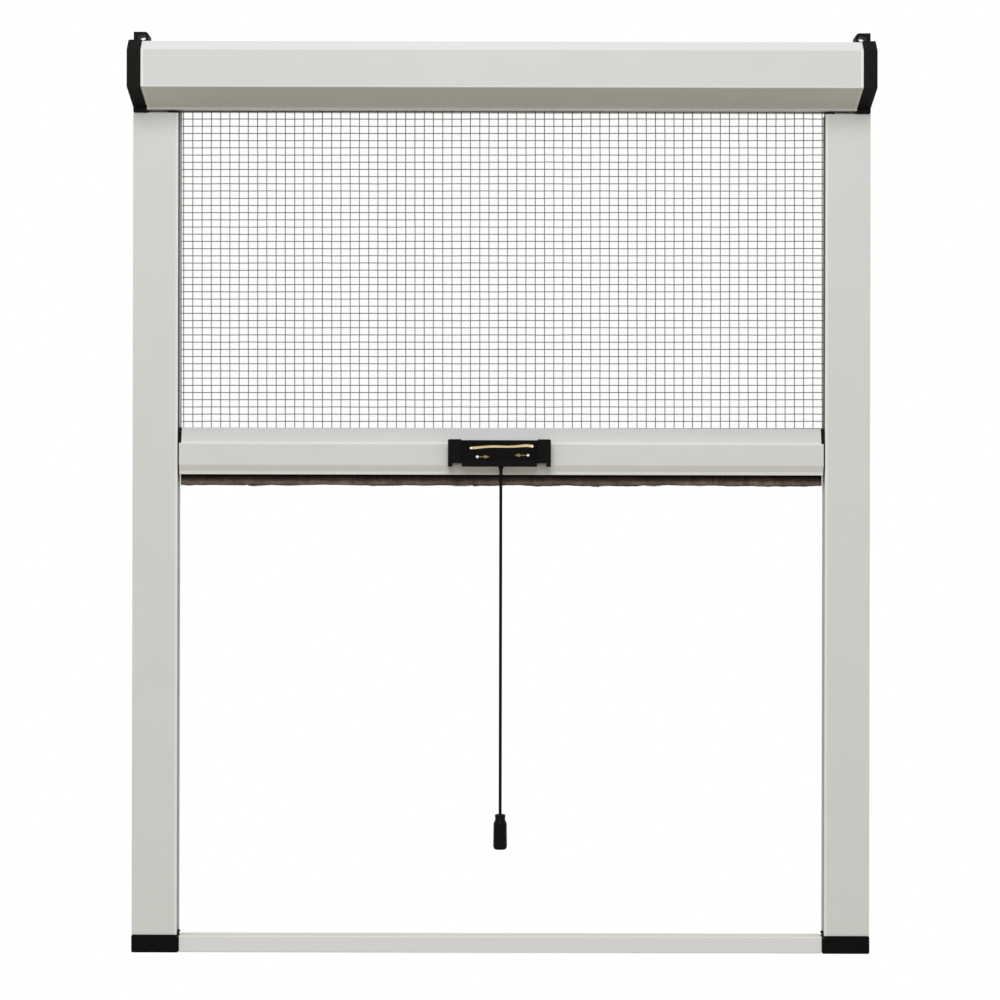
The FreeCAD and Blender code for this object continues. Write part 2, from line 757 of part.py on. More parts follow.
def make_bar():
    """The extruded bar: bevelled front, hollow core, keder groove above and brush groove below."""
    body = new_body("pull_bar")
    section = new_sketch(body, "YZ_Plane", f"-{BAR_END}")
    add_loop(section, BAR_CORNERS)
    add_loop(section, [
        ("-bar_back - wall", CHAMBER_FLOOR),
        ("-bar_back - wall", CHAMBER_TOP),
        ("-bar_top_depth", CHAMBER_TOP),
        ("-bar_front + wall", BROW_FLOOR),
        ("-bar_front + wall", "bar_skirt_height"),
        ("-bar_front + bar_lip_inset + wall", CHAMBER_FLOOR),
    ])
    pad(body, section, f"2 * {BAR_END}")
    grooves = new_sketch(body, "YZ_Plane", f"-{BAR_END}")
    add_circle(grooves, f"-{MESH_PLANE}", KEDER_Z, KEDER_BORE)
    pocket(body, grooves, f"2 * {BAR_END}", backwards=True)
    for half, low, high in (
        ("keder_mouth / 2", KEDER_Z, "bar_height"),
        ("brush_mouth / 2", "0", "wall"),
        ("brush_groove / 2", "wall", "wall + brush_groove_height"),
    ):
        mouth = new_sketch(body, "YZ_Plane", f"-{BAR_END}")
        add_box(mouth, f"-{MESH_PLANE} - {half}", low, f"-{MESH_PLANE} + {half}", high)
        pocket(body, mouth, f"2 * {BAR_END}", backwards=True)
    round_long_edges(body, [
        ("-bar_top_depth", "bar_height"),
        ("-bar_front", BROW_FLOOR),
        ("-bar_front", "bar_skirt_height"),
    ], "edge_round")
    for hand in (LEFT, RIGHT):
        notch = new_sketch(body, "YZ_Plane", f"{hand} * {BAR_END}")
        add_box(notch, "-bar_front - fit", BROW_FLOOR, HEAD_BACK, "bar_height + fit")
        pocket(body, notch, "plug_head + fit", backwards=hand < 0)
    place(body, z=BAR_FLOOR)


def make_bar_plug(name, hand):
    """An end plug: plate slit for the mesh, head in the bar's notch, block in its core, runner in the guide."""
    body = new_body(f"bar_plug_{name}")
    plate = new_sketch(body, "YZ_Plane")
    add_loop(plate, BAR_CORNERS)
    pad(body, plate, "plug_plate", backwards=hand < 0)
    block = new_sketch(body, "YZ_Plane", f"-{hand} * plug_depth")
    low, high = f"({CHAMBER_FLOOR} + fit)", f"({CHAMBER_TOP} - fit)"
    add_box(block, "-bar_back - wall - fit", low, "-bar_front + bar_lip_inset + wall + fit", high)
    add_box(block, "-bar_back - wall - fit - tongue_wall", f"{low} + tongue_wall",
            "-bar_front + bar_lip_inset + wall + fit + tongue_wall", f"{high} - tongue_wall")
    pad(body, block, "plug_depth", backwards=hand < 0)
    head = new_sketch(body, "YZ_Plane", f"-{hand} * plug_head")
    add_loop(head, [
        (f"{HEAD_BACK} - fit", "bar_height"),
        ("-bar_top_depth", "bar_height"),
        ("-bar_front", f"{BROW_FLOOR} + fit"),
        (f"{HEAD_BACK} - fit", f"{BROW_FLOOR} + fit"),
    ])
    pad(body, head, "plug_head", backwards=hand < 0)
    slit = new_sketch(body, "YZ_Plane")
    add_box(slit, f"-{MESH_PLANE} - keder_mouth / 2", KEDER_Z, f"-{MESH_PLANE} + keder_mouth / 2", "bar_height")
    pocket(body, slit, "plug_plate", backwards=hand > 0)
    runner = new_sketch(body, "YZ_Plane", f"{hand} * plug_plate")
    add_box(runner, f"-{MESH_PLANE} - runner_thick / 2", "runner_inset",
            f"-{MESH_PLANE} + runner_thick / 2", "bar_height - runner_inset")
    pad(body, runner, "runner_length", backwards=hand < 0)
    dress(body, "Fillet", "Radius", "runner_thick / 3", lambda middle, edge: along(edge, Vector(0, 1, 0))
          and near(middle.x, f"{hand} * (plug_plate + runner_length)"))
    place(body, x=f"{hand} * {BAR_END}", z=BAR_FLOOR)


def make_keder():
    """The rod that holds the mesh's lower edge in the bar."""
    body = new_body("mesh_keder")
    outline = new_sketch(body, "YZ_Plane", f"-{BAR_END} + fit")
    add_circle(outline, "0", "0", "keder_radius")
    pad(body, outline, f"2 * ({BAR_END} - fit)")
    place(body, y=f"-{MESH_PLANE}", z=f"{BAR_FLOOR} + {KEDER_Z}")


def make_brush():
    """The brush under the bar: a backing strip in the groove and the pile that hangs from it."""
    body = new_body("bar_brush")
    section = new_sketch(body, "YZ_Plane", f"-{BAR_END} + fit")
    strip = "(brush_groove / 2 - fit)"
    pile = "(brush_width / 2)"
    add_loop(section, [
        (f"-{strip}", "wall + fit / 2"),
        (f"-{pile}", "wall + fit / 2"),
        (f"-{pile}", "-brush_reach"),
        (pile, "-brush_reach"),
        (pile, "wall + fit / 2"),
        (strip, "wall + fit / 2"),
        (strip, "wall + brush_groove_height - fit"),
        (f"-{strip}", "wall + brush_groove_height - fit"),
    ])
    pad(body, section, f"2 * ({BAR_END} - fit)")
    place(body, y=f"-{MESH_PLANE}", z=BAR_FLOOR)


# Handle, cord and pendant

WINDOW = "(handle_width - 2 * end_block - 2 * window_margin)"
BLOCK_TOP = "(handle_height + block_rise)"


def make_handle():
    """A moulded grip: raised end blocks with finger notches, a bevelled brow and a recess."""
    body = new_body("handle_grip")
    base = new_sketch(body, "XZ_Plane")
    add_box(base, "-handle_width / 2", "0", "handle_width / 2", "handle_height")
    pad(body, base, "handle_depth")
    dress(body, "Chamfer", "Size", "bevel", lambda middle, edge: along(edge, Vector(1, 0, 0))
          and near(middle.y, "-handle_depth") and near(middle.z, "handle_height"))
    window = new_sketch(body, "XZ_Plane", "handle_depth")
    add_box(window, f"-{WINDOW} / 2", "window_rise", f"{WINDOW} / 2", "window_rise + window_height")
    pocket(body, window, "window_depth")
    blocks = new_sketch(body, "XZ_Plane")
    for hand in (LEFT, RIGHT):
        add_box(blocks, f"{hand} * handle_width / 2", "0", f"{hand} * (handle_width / 2 - end_block)", BLOCK_TOP)
    pad(body, blocks, "handle_depth + block_proud")
    notches = new_sketch(body, "XZ_Plane")
    for hand in (LEFT, RIGHT):
        outer = f"{hand} * (handle_width / 2 - notch_inset)"
        add_box(notches, outer, "0", f"{outer} - {hand} * notch_width", "notch_height")
    pocket(body, notches, "handle_depth + block_proud", backwards=True)
    seat = new_sketch(body, "XY_Plane")
    add_circle(seat, "handle_left - cord_left", "-cord_front", "cord_radius + fit / 2")
    pocket(body, seat, "cord_seat + fit", backwards=True)
    dress(body, "Fillet", "Radius", "handle_round", lambda middle, edge: along(edge, Vector(0, 1, 0))
          and near(abs(middle.x), "handle_width / 2") and near(middle.z, BLOCK_TOP))
    place(body, x="-handle_left", y="-bar_front", z=CORD_TOP)


def make_plate():
    """The glossy plate in the grip's recess."""
    body = new_body("handle_plate")
    outline = new_sketch(body, "XZ_Plane")
    add_box(outline, f"-{WINDOW} / 2 + fit", "window_rise + fit",
            f"{WINDOW} / 2 - fit", "window_rise + window_height - fit")
    pad(body, outline, "plate_thick")
    place(body, x="-handle_left", y="-bar_front - handle_depth + window_depth", z=CORD_TOP)


def make_cord():
    """The cord hangs straight from the grip to the pendant, so its path is one run."""
    body = new_body("pull_cord")
    outline = new_sketch(body, "XY_Plane")
    add_circle(outline, "0", "0", "cord_radius")
    pad(body, outline, "cord_length", backwards=True)
    place(body, x="-cord_left", y=f"-{CORD_DEPTH}", z=f"{CORD_TOP} + cord_seat")


def make_ferrule():
    """The short sleeve on the cord, with its collar under the grip."""
    body = new_body("cord_ferrule")
    for radius, length in (("ferrule_radius", "ferrule_length"), ("collar_radius", "collar_height")):
        outline = new_sketch(body, "XY_Plane")
        add_circle(outline, "0", "0", radius)
        add_circle(outline, "0", "0", "cord_radius + shaft_clearance")
        pad(body, outline, length, backwards=True)
    place(body, x="-cord_left", y=f"-{CORD_DEPTH}", z=CORD_TOP)


def make_knob():
    """The pendant: neck, shoulder, body with a bevelled foot, and a cavity below for the knot."""
    body = new_body("cord_knob")
    bore = "(cord_radius + fit / 2)"
    turn(body, [
        (bore, "0"),
        ("knob_neck_radius", "0"),
        ("knob_neck_radius", "-knob_neck_height"),
        ("knob_radius", "-knob_neck_height - knob_shoulder"),
        ("knob_radius", "-knob_height + knob_chamfer"),
        ("knob_radius - knob_chamfer / 2", "-knob_height"),
        ("knob_cavity_radius", "-knob_height"),
        ("knob_cavity_radius", "-knob_height + knob_cavity_height"),
        (bore, "-knob_height + knob_cavity_height"),
    ], "V_Axis")
    place(body, x="-cord_left", y=f"-{CORD_DEPTH}", z=KNOB_TOP)


def make_knot():
    """The knot at the cord's lower end, drawn as its outer shape."""
    body = new_body("cord_knot")
    outline = new_sketch(body, "XY_Plane")
    add_circle(outline, "0", "0", "knot_radius")
    pad(body, outline, "knot_height", backwards=True)
    place(body, x="-cord_left", y=f"-{CORD_DEPTH}", z=f"{CORD_TOP} + cord_seat - cord_length")


def check_document():
    """Stops if any object of the document failed, or a sub-part is empty or invalid."""
    for item in doc.Objects:
        if {"Invalid", "Error"} & set(item.State):
            raise RuntimeError(f"{item.Name} failed: {item.State}")
    for item in parts:
        if item.Shape.isNull() or not item.Shape.isValid() or not item.Shape.Solids:
            raise RuntimeError(f"{item.Label} has no valid solid")


def write_parts():
    os.makedirs("parts", exist_ok=True)
    for item in parts:
        item.Shape.exportStep(f"parts/{item.Label}.step")
        box = item.Shape.BoundBox
        print(f"{item.Label}: {len(item.Shape.Solids)} solid, {item.Shape.Volume:.0f} mm3, "
              f"x {box.XMin:.1f} {box.XMax:.1f}, y {box.YMin:.1f} {box.YMax:.1f}, z {box.ZMin:.1f} {box.ZMax:.1f}")


def main():
    fill_sheet()
    make_cassette()
    for name, hand in SIDES:
        make_cap(name, hand)
    make_cap_screws()
    for name, hand in SIDES:
        make_guide(name, hand)
        make_pile(name, hand, "front")
        make_pile(name, hand, "back")
        make_foot(name, hand)
    make_sill()
    make_roller()
    make_spring()
    make_mesh()
    make_bar()
    for name, hand in SIDES:
        make_bar_plug(name, hand)
    make_keder()
    make_brush()
    make_handle()
    make_plate()
    make_cord()
    make_ferrule()
    make_knob()
    make_knot()
    doc.recompute()
    check_document()
    write_parts()


main()
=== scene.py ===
"""Looks of a roller insect screen.

Lacquered profiles, black plastic fittings, a woven mesh, a brush and a pull cord.
"""
import math

import bmesh
import bpy
from mathutils import Matrix, Vector, noise


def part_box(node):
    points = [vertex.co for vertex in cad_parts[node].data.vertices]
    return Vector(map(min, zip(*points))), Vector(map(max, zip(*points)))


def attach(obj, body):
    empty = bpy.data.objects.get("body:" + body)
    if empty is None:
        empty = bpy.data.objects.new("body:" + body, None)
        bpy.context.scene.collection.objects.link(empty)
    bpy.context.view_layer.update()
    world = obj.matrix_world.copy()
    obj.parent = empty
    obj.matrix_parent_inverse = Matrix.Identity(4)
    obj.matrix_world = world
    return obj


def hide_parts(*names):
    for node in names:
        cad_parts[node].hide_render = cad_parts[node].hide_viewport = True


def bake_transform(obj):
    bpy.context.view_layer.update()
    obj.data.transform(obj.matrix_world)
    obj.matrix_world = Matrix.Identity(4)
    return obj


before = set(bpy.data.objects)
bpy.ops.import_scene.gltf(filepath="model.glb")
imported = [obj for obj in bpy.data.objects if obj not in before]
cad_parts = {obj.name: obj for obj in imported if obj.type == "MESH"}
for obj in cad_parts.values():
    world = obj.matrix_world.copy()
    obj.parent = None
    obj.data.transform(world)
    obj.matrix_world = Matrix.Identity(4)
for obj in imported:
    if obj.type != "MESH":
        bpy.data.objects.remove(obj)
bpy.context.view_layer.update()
MM = 0.001

# Camera, found from the photograph's edges
EYE = Vector((-0.9, -1572.0, -351.0)) * MM
LENS = 73.9
SENSOR = 36.0
ROLL = math.radians(0.12)

# Cord: it hangs straight from the grip, so its route is the exit, one point close below it and the end
CORD_RADIUS = 1.15 * MM
CORD_ROUTE = [(-0.3, -20.9, -320.8), (-0.3, -20.9, -335.0), (-0.3, -20.9, -605.9)]
BRAID_PITCH = 2.4 * MM
BRAID_YARNS = 4.0

# Woven mesh
PITCH_X = 7.055 * MM
PITCH_Z = 5.487 * MM
THREAD_LEFT = -249.9 * MM
THREAD_COLUMNS = 71
THREAD_RADIUS = 0.38 * MM
THREAD_SPREAD = (0.8, 1.25)
THREAD_SIDES = 5
THREAD_FLATNESS = 0.25
BEAD_RADIUS = 0.6 * MM
BEAD_SPREAD = ((0.85, 0.55, 0.6), (1.35, 0.75, 0.95))
WEAVE_DEPTH = 0.3 * MM
WANDER = 0.6 * MM
WANDER_SCALE = 55.0
WEAVE_SEED = 4
SELVEDGE_INNER = 245.7 * MM
SELVEDGE_THICK = 0.34 * MM
TAPE_INNER = 243.7 * MM
TAPE_THICK = 0.2 * MM
MESH_TOP = -27.65 * MM
MESH_FLOOR = -302.0 * MM
MESH_TILT = -ROLL
FINE_ACROSS = 5
FINE_UP = 4
FINE_EDGE = 0.8
FINE_ALPHA = 0.07
SCREEN_FINISHES = ["thread", "selvedge", "weave", "tape", "bead"]

# Brush: its root is how far the bristles start above the bar's floor, its margin what their roots keep
# from both ends together, and its core's half widths are at the root, the shoulder and the floor
BRISTLE_STEP = 0.22 * MM
BRISTLES_PER_STEP = 6
BRISTLE_RADIUS = 0.16 * MM
BRISTLE_TAPER = 0.45
BRISTLE_SCATTER = 1.25 * MM
BRISTLE_JITTER = 0.12
BRISTLE_LENGTHS = (0.62, 1.18)
BRISTLE_RAGGED = 0.10
BRISTLE_SEED = 11
TUFT_SCALE = 120.0
TUFT_LEAN = (0.5, 1.3, 0.0)
CLUMP_SCALE = 45.0
BRUSH_ROOT = 1.2 * MM
BRUSH_MARGIN = 0.6 * MM
BRUSH_REACH = 9.3 * MM
# Colours down the bristles from their root: the near black at the top is the bar's painted shade
BRUSH_RAMP = (
    (0.0, (7, 6, 5)), (0.14, (34, 29, 25)), (0.42, (74, 64, 55)), (0.66, (128, 115, 102)),
    (0.82, (112, 100, 88)), (0.94, (48, 42, 36)),
)
CORE_STEP = 1.5 * MM
CORE_RISE = 1.0 * MM
CORE_WAVE = 0.9 * MM
CORE_SHOULDER = 1.2 * MM
CORE_HALF_WIDTHS = (1.2, 1.0, 0.35)
CORE_WAVES = ((45.0, 0.3, 1.0), (170.0, 4.1, 0.5))

# Screws in the end caps: places as y and z, sections as radius and height, all in mm
SCREW_SPOTS = ((-37.7, -37.95), (-4.3, -12.1))
SCREW_HEAD = (
    (0.0, 0.0), (1.0, -0.06), (1.9, -0.25), (2.6, -0.6), (3.05, -1.1), (3.2, -1.6), (3.2, -2.2), (1.5, -2.2),
)
SCREW_TIP = ((0.7, -19.6), (0.0, -20.0))
SCREW_CREST = 1.5
SCREW_GROOVE = 1.18
SCREW_THREAD_TOP = -2.8
SCREW_THREAD_STEP = 0.5
SCREW_THREAD_RINGS = 33
SCREW_STEPS = 32
RECESS_ARM = 1.7 * MM
RECESS_HALF = 0.42 * MM
RECESS_HEIGHTS = (0.6, -1.3)

# Torsion spring
WIRE_RADIUS = 0.6 * MM
WIRE_PITCH = 1.24 * MM
WIRE_STEPS = 20
WIRE_SIDES = 6

# Pendant: its outline as radius and drop from its top in mm, the hollow for the cord's knot, how much
# wider than the cord its bore is, and the chamfer at the bore's mouth
KNOB_LOWERED = 0.9 * MM
KNOB_OUTLINE = (
    (3.3, 0.0), (3.8, 0.2), (3.95, 0.7), (3.9, 1.8), (3.78, 3.0), (3.82, 3.9), (4.1, 4.8), (4.8, 6.3),
    (5.0, 7.1), (5.04, 8.5), (5.1, 14.1), (5.2, 21.1), (5.25, 23.5), (5.2, 24.3), (4.6, 25.9), (4.2, 26.2),
    (3.3, 26.2), (3.2, 26.0),
)
KNOB_HOLLOW = 3.2 * MM
KNOB_HOLLOW_DEEP = 9.0 * MM
KNOB_FIT = 1.08
KNOB_CHAMFER = (0.5 * MM, 0.4 * MM)
KNOB_STEPS = 64
SHARP = math.radians(40)

# Print on the grip's plate: how far each ink stands proud, how deep it is sunk, and its outlines in mm
INKS = {"gold": 0.08 * MM, "cream": 0.13 * MM, "olive": 0.1 * MM}
PRINT_SUNK = 0.03 * MM
PRINT_LINE = (
    (-23.4, -311.8, 0.7), (-22.0, -311.8, 0.9), (-18.0, -311.5, 0.9), (-12.0, -310.9, 0.8),
    (-6.0, -310.6, 0.85), (0.0, -310.7, 0.75), (5.0, -310.8, 0.75), (10.0, -310.6, 0.8),
    (15.0, -310.2, 0.9), (19.0, -309.9, 1.0), (22.5, -310.2, 1.0), (24.0, -310.5, 0.7),
)
PRINT_ENDS = ((-22.9, -311.8, 0.9), (23.3, -310.4, 1.0))
POINTERS = ((-18.1, -318.4, -8.9, 1.0), (20.2, -317.2, 10.0, 0.9))
DOT_WIDTH = 1.1
DOT_STEPS = 24
STEM_START = 1.0
STEM_END = 4.6
STEM_HALF = 0.3
BARB_BACK = 5.0
BARB_WIDEST = 3.4
BARB_HALF = 1.25

# Light and stage, in metres and watts
AMBIENT = 0.34
KEY_SPOT = (-0.1, -2.64, 1.49)
KEY_AIM = (0.0, 0.0, -0.35)
KEY_SIZE = (1.8, 2.1)
KEY_POWER = 74.5
FLOOR_Z = -1.0
FLOOR_REACH = 1.6
FLOOR_BACK = 0.95


def srgb(red, green, blue):
    """A colour read as 0 to 255 values, turned into the linear values that shaders take."""
    def linear(v):
        v /= 255
        return v / 12.92 if v <= 0.04045 else ((v + 0.055) / 1.055) ** 2.4
    return (linear(red), linear(green), linear(blue), 1.0)


# Node helpers

EVEN = (1.0, 1.0, 1.0)
MIDDLE = (0.5, 0.5, 0.5)


def feed(tree, socket, given):
    """Wires another socket into this one, or sets a plain value on it."""
    if isinstance(given, bpy.types.NodeSocket):
        tree.links.new(given, socket)
    else:
        socket.default_value = given


def add(tree, kind, feeds=None, **settings):
    """A node with its settings, and with its inputs fed from a dict by name or number."""
    node = tree.nodes.new(kind)
    for name, setting in settings.items():
        setattr(node, name, setting)
    for name, given in (feeds or {}).items():
        feed(tree, node.inputs[name], given)
    return node


def new_tree(name, kind, inputs, outputs):
    """A node tree with its inputs and outputs, each given as (name, kind)."""
    tree = bpy.data.node_groups.new(name, kind)
    for way, sockets in (("OUTPUT", outputs), ("INPUT", inputs)):
        for label, socket in sockets:
            tree.interface.new_socket(label, in_out=way, socket_type=f"NodeSocket{socket}")
    return tree, add(tree, "NodeGroupInput").outputs, add(tree, "NodeGroupOutput").inputs


def math_node(tree, operation, *given):
    """A Math node on one or two inputs, each a socket or a number."""
    return add(tree, "ShaderNodeMath", dict(enumerate(given)), operation=operation).outputs[0]


def vector_node(tree, operation, first, second):
    """A Vector Math node on two inputs, each a socket or a value."""
    feeds = {0: first, "Scale" if operation == "SCALE" else 1: second}
    return add(tree, "ShaderNodeVectorMath", feeds, operation=operation).outputs[0]


def combine(tree, *parts):
    return add(tree, "ShaderNodeCombineXYZ", dict(enumerate(parts))).outputs[0]


def split_axes(tree, vector):
    return add(tree, "ShaderNodeSeparateXYZ", {0: vector}).outputs


def object_axes(tree):
    """The X, Y and Z of a shaded point in its piece's own coordinates."""
    return split_axes(tree, add(tree, "ShaderNodeTexCoord").outputs["Object"])


def mix_colour(tree, factor, first, second):
    return add(tree, "ShaderNodeMix", {"Factor": factor, 6: first, 7: second}, data_type="RGBA").outputs[2]


def spread_value(tree, factor, low, high):
    return add(tree, "ShaderNodeMapRange", {"Value": factor, "To Min": low, "To Max": high}).outputs[0]


def grain_group():
    """Fine grain: a soft mottle for colour and roughness, and a fine height for the bump."""
    group, given, end = new_tree(
        "surface_grain", "ShaderNodeTree",
        (("Mottle Size", "Float"), ("Grain Size", "Float"), ("Stretch", "Vector")),
        (("Mottle", "Float"), ("Height", "Float")),
    )
    place = add(group, "ShaderNodeTexCoord").outputs["Object"]
    stretched = vector_node(group, "MULTIPLY", place, given["Stretch"])
    for size, result, detail in (("Mottle Size", "Mottle", 4.0), ("Grain Size", "Height", 2.0)):
        scale = math_node(group, "DIVIDE", 1.0, given[size])
        field = add(group, "ShaderNodeTexNoise", {"Vector": stretched, "Scale": scale, "Detail": detail})
        feed(group, end[result], field.outputs["Fac"])
    return group


def edge_group():
    """How near a point is to an edge, mirrored about the part's middle planes.

    It gives 1 close to the edge and 0 a width away.
    """
    group, given, end = new_tree(
        "edge_nearness", "ShaderNodeTree",
        (("Edge", "Vector"), ("Across", "Vector"), ("Width", "Float"), ("Fade", "Float")),
        (("Near", "Float"),),
    )
    place = add(group, "ShaderNodeTexCoord").outputs["Object"]
    mirrored = add(group, "ShaderNodeVectorMath", {0: place}, operation="ABSOLUTE").outputs[0]
    apart = vector_node(group, "SUBTRACT", mirrored, given["Edge"])
    away = vector_node(group, "MULTIPLY", apart, given["Across"])
    distance = add(group, "ShaderNodeVectorMath", {0: away}, operation="LENGTH").outputs["Value"]
    left = math_node(group, "DIVIDE", math_node(group, "SUBTRACT", given["Width"], distance), given["Fade"])
    feed(group, end["Near"], math_node(group, "MAXIMUM", math_node(group, "MINIMUM", left, 1.0), 0.0))
    return group


GRAIN = grain_group()
EDGE = edge_group()


def new_material(name, colour, roughness, **sockets):
    """A Principled material whose even values are set on the shader itself."""
    made = bpy.data.materials.new(name)
    made.use_nodes = True
    shader = made.node_tree.nodes["Principled BSDF"]
    shader.inputs["Base Color"].default_value = colour
    shader.inputs["Roughness"].default_value = roughness
    for socket, setting in sockets.items():
        shader.inputs[socket.replace("_", " ")].default_value = setting
    return made, made.node_tree, shader.inputs


def add_bump(tree, shader, height, strength, distance):
    bump = add(tree, "ShaderNodeBump", {"Height": height, "Strength": strength, "Distance": distance})
    feed(tree, shader["Normal"], bump.outputs["Normal"])


def grained(tree, mottle, grain, stretch=EVEN):
    feeds = {"Mottle Size": mottle, "Grain Size": grain, "Stretch": stretch}
    return add(tree, "ShaderNodeGroup", feeds, node_tree=GRAIN).outputs


# Materials

LACQUER = srgb(209, 210, 208)
LACQUER_DARK = srgb(204, 205, 203)
LACQUER_CUT = srgb(232, 232, 228)
# Painted highlight for edges where the light catches
LACQUER_EDGE_HIGHLIGHT = srgb(224, 224, 222)
# Painted light on the cassette's brow, lighter as if lit from above
LACQUER_BROW_PAINTED_LIGHT = srgb(223, 223, 224)
LACQUER_SILL = srgb(216, 217, 218)
LACQUER_SILL_TOP = srgb(238, 234, 226)
LACQUER_SHADE = srgb(190, 191, 190)
CUT_STRIP = 1.9 * MM
DRAW_STRETCH = 0.08

# Tints along edges, in mm: the edge's place as absolute x, y and z, the axes across it, its width and fade
CASSETTE_TINTS = (
    # Painted light on the brow
    ((0, 0, 7.8), (0, 0, 1), 7.8, 0.4, LACQUER_BROW_PAINTED_LIGHT),
    # Painted highlight along the front's lower edge
    ((0, 42, 43.35), (0, 1, 1), 1.3, 1.0, LACQUER_EDGE_HIGHLIGHT),
)
BAR_TINTS = (
    # Painted shade on the bar's upper facet, darkest towards the mesh
    ((0, 0, 296.3), (0, 0, 1), 13.0, 14.0, LACQUER_SHADE),
    # Painted highlight along the bar's ridge
    ((0, 15.5, 308.2), (0, 1, 1), 1.3, 1.0, LACQUER_EDGE_HIGHLIGHT),
)
SILL_TINTS = (
    ((0, 0, 688), (0, 0, 1), 20.0, 1.0, LACQUER_SILL),
    ((0, 0, 682.3), (0, 0, 1), 0.5, 0.2, LACQUER_SILL_TOP),
)
GUIDE_TINTS = (
    # Painted highlight along the guide's inner edge at the mouth
    ((245.8, 14, 0), (1, 1, 0), 2.4, 1.6, LACQUER_EDGE_HIGHLIGHT),
)


def tinted(tree, colour, tints):
    """The colour with each tint mixed in near its edge."""
    for edge, across, width, fade, tint in tints:
        feeds = {"Edge": [v * MM for v in edge], "Across": across, "Width": width * MM, "Fade": fade * MM}
        near = add(tree, "ShaderNodeGroup", feeds, node_tree=EDGE).outputs["Near"]
        colour = mix_colour(tree, near, colour, tint)
    return colour


def lacquer(name, along, tints, cut_end=None):
    """Powder lacquer on an extrusion, with faint draw lines along it, and tints near given edges, most of
    them painted highlights, painted light and painted shade.

    Where cut_end gives half the extrusion's length, its sawn ends have a bright strip.
    """
    made, tree, shader = new_material(name, LACQUER, 0.5, Specular_IOR_Level=0.3)
    stretch = tuple(DRAW_STRETCH if axis == along else 1.0 for axis in "xyz")
    skin = grained(tree, mottle=30 * MM, grain=0.5 * MM)
    lines = grained(tree, mottle=6 * MM, grain=1.2 * MM, stretch=stretch)
    colour = mix_colour(tree, skin["Mottle"], LACQUER, LACQUER_DARK)
    if cut_end:
        from_middle = math_node(tree, "ABSOLUTE", object_axes(tree)["X"])
        beyond = math_node(tree, "GREATER_THAN", from_middle, cut_end - CUT_STRIP)
        colour = mix_colour(tree, beyond, colour, LACQUER_CUT)
    feed(tree, shader["Base Color"], tinted(tree, colour, tints))
    feed(tree, shader["Roughness"], spread_value(tree, lines["Mottle"], 0.44, 0.56))
    height = math_node(tree, "ADD", skin["Height"], math_node(tree, "MULTIPLY", lines["Height"], 0.4))
    add_bump(tree, shader, height, strength=0.12, distance=0.05 * MM)
    return made


def plastic(name, dark, pale, roughness, strength=0.25, gloss=0.05):
    """Moulded plastic with spark-eroded grain and slightly uneven gloss."""
    made, tree, shader = new_material(name, dark, roughness, Specular_IOR_Level=gloss)
    skin = grained(tree, mottle=14 * MM, grain=0.35 * MM)
    feed(tree, shader["Base Color"], mix_colour(tree, skin["Mottle"], dark, pale))
    feed(tree, shader["Roughness"], spread_value(tree, skin["Mottle"], roughness - 0.07, roughness + 0.09))
    add_bump(tree, shader, skin["Height"], strength, distance=0.04 * MM)
    return made


def metal(name, colour, roughness, stretch=EVEN):
    made, tree, shader = new_material(name, colour, roughness, Metallic=1.0)
    skin = grained(tree, mottle=3 * MM, grain=0.4 * MM, stretch=stretch)
    feed(tree, shader["Roughness"], spread_value(tree, skin["Mottle"], roughness - 0.06, roughness + 0.1))
    add_bump(tree, shader, skin["Height"], strength=0.15, distance=0.03 * MM)
    return made


def fibre(name, dark, pale, size, stretch=EVEN):
    """Yarn or bristle: a matt surface whose colour changes from fibre to fibre."""
    made, tree, shader = new_material(name, dark, 0.8, Sheen_Weight=0.15)
    skin = grained(tree, mottle=size, grain=size / 4, stretch=stretch)
    feed(tree, shader["Base Color"], mix_colour(tree, skin["Mottle"], dark, pale))
    add_bump(tree, shader, skin["Height"], strength=0.5, distance=size / 20)
    return made


def bristle(name):
    """Bristles: black in the bar's shade, browner and paler lower down, and dark again at their tips."""
    made, tree, shader = new_material(name, srgb(60, 52, 44), 0.85, Specular_IOR_Level=0.1)
    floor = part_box("pull_bar")[0].z
    below = math_node(tree, "SUBTRACT", floor, object_axes(tree)["Z"])
    drop = math_node(tree, "DIVIDE", below, BRUSH_REACH)
    ramp = add(tree, "ShaderNodeValToRGB", {0: drop})
    elements = ramp.color_ramp.elements
    for stop, colour in BRUSH_RAMP[1:-1]:
        elements.new(stop)
    for element, (stop, colour) in zip(elements, BRUSH_RAMP):
        element.position = stop
        element.color = srgb(*colour)
    skin = grained(tree, mottle=5 * MM, grain=0.6 * MM, stretch=(0.5, 1.0, 1.8))
    shade = spread_value(tree, skin["Mottle"], -0.1, 1.7)
    feed(tree, shader["Base Color"], mix_colour(tree, shade, srgb(34, 29, 24), ramp.outputs[0]))
    add_bump(tree, shader, skin["Height"], strength=0.4, distance=0.1 * MM)
    return made


def ink(name, colour, pale):
    """Hot stamped foil, a little uneven."""
    made, tree, shader = new_material(name, colour, 0.4, Specular_IOR_Level=0.3)
    skin = grained(tree, mottle=4 * MM, grain=0.3 * MM)
    feed(tree, shader["Base Color"], mix_colour(tree, skin["Mottle"], colour, pale))
    add_bump(tree, shader, skin["Height"], strength=0.2, distance=0.02 * MM)
    return made


def fine_weave(name):
    """The finest yarns of the mesh, too thin to show singly: all but clear, in rows and columns."""
    made, tree, shader = new_material(name, srgb(120, 120, 118), 0.7)
    spot = object_axes(tree)
    lines = []
    for axis, pitch in (("X", PITCH_X / FINE_ACROSS), ("Z", PITCH_Z / FINE_UP)):
        wave = math_node(tree, "SINE", math_node(tree, "MULTIPLY", spot[axis], 2 * math.pi / pitch))
        lines.append(math_node(tree, "GREATER_THAN", wave, FINE_EDGE))
    yarn = math_node(tree, "MAXIMUM", *lines)
    feed(tree, shader["Alpha"], math_node(tree, "MULTIPLY", yarn, FINE_ALPHA))
    return made


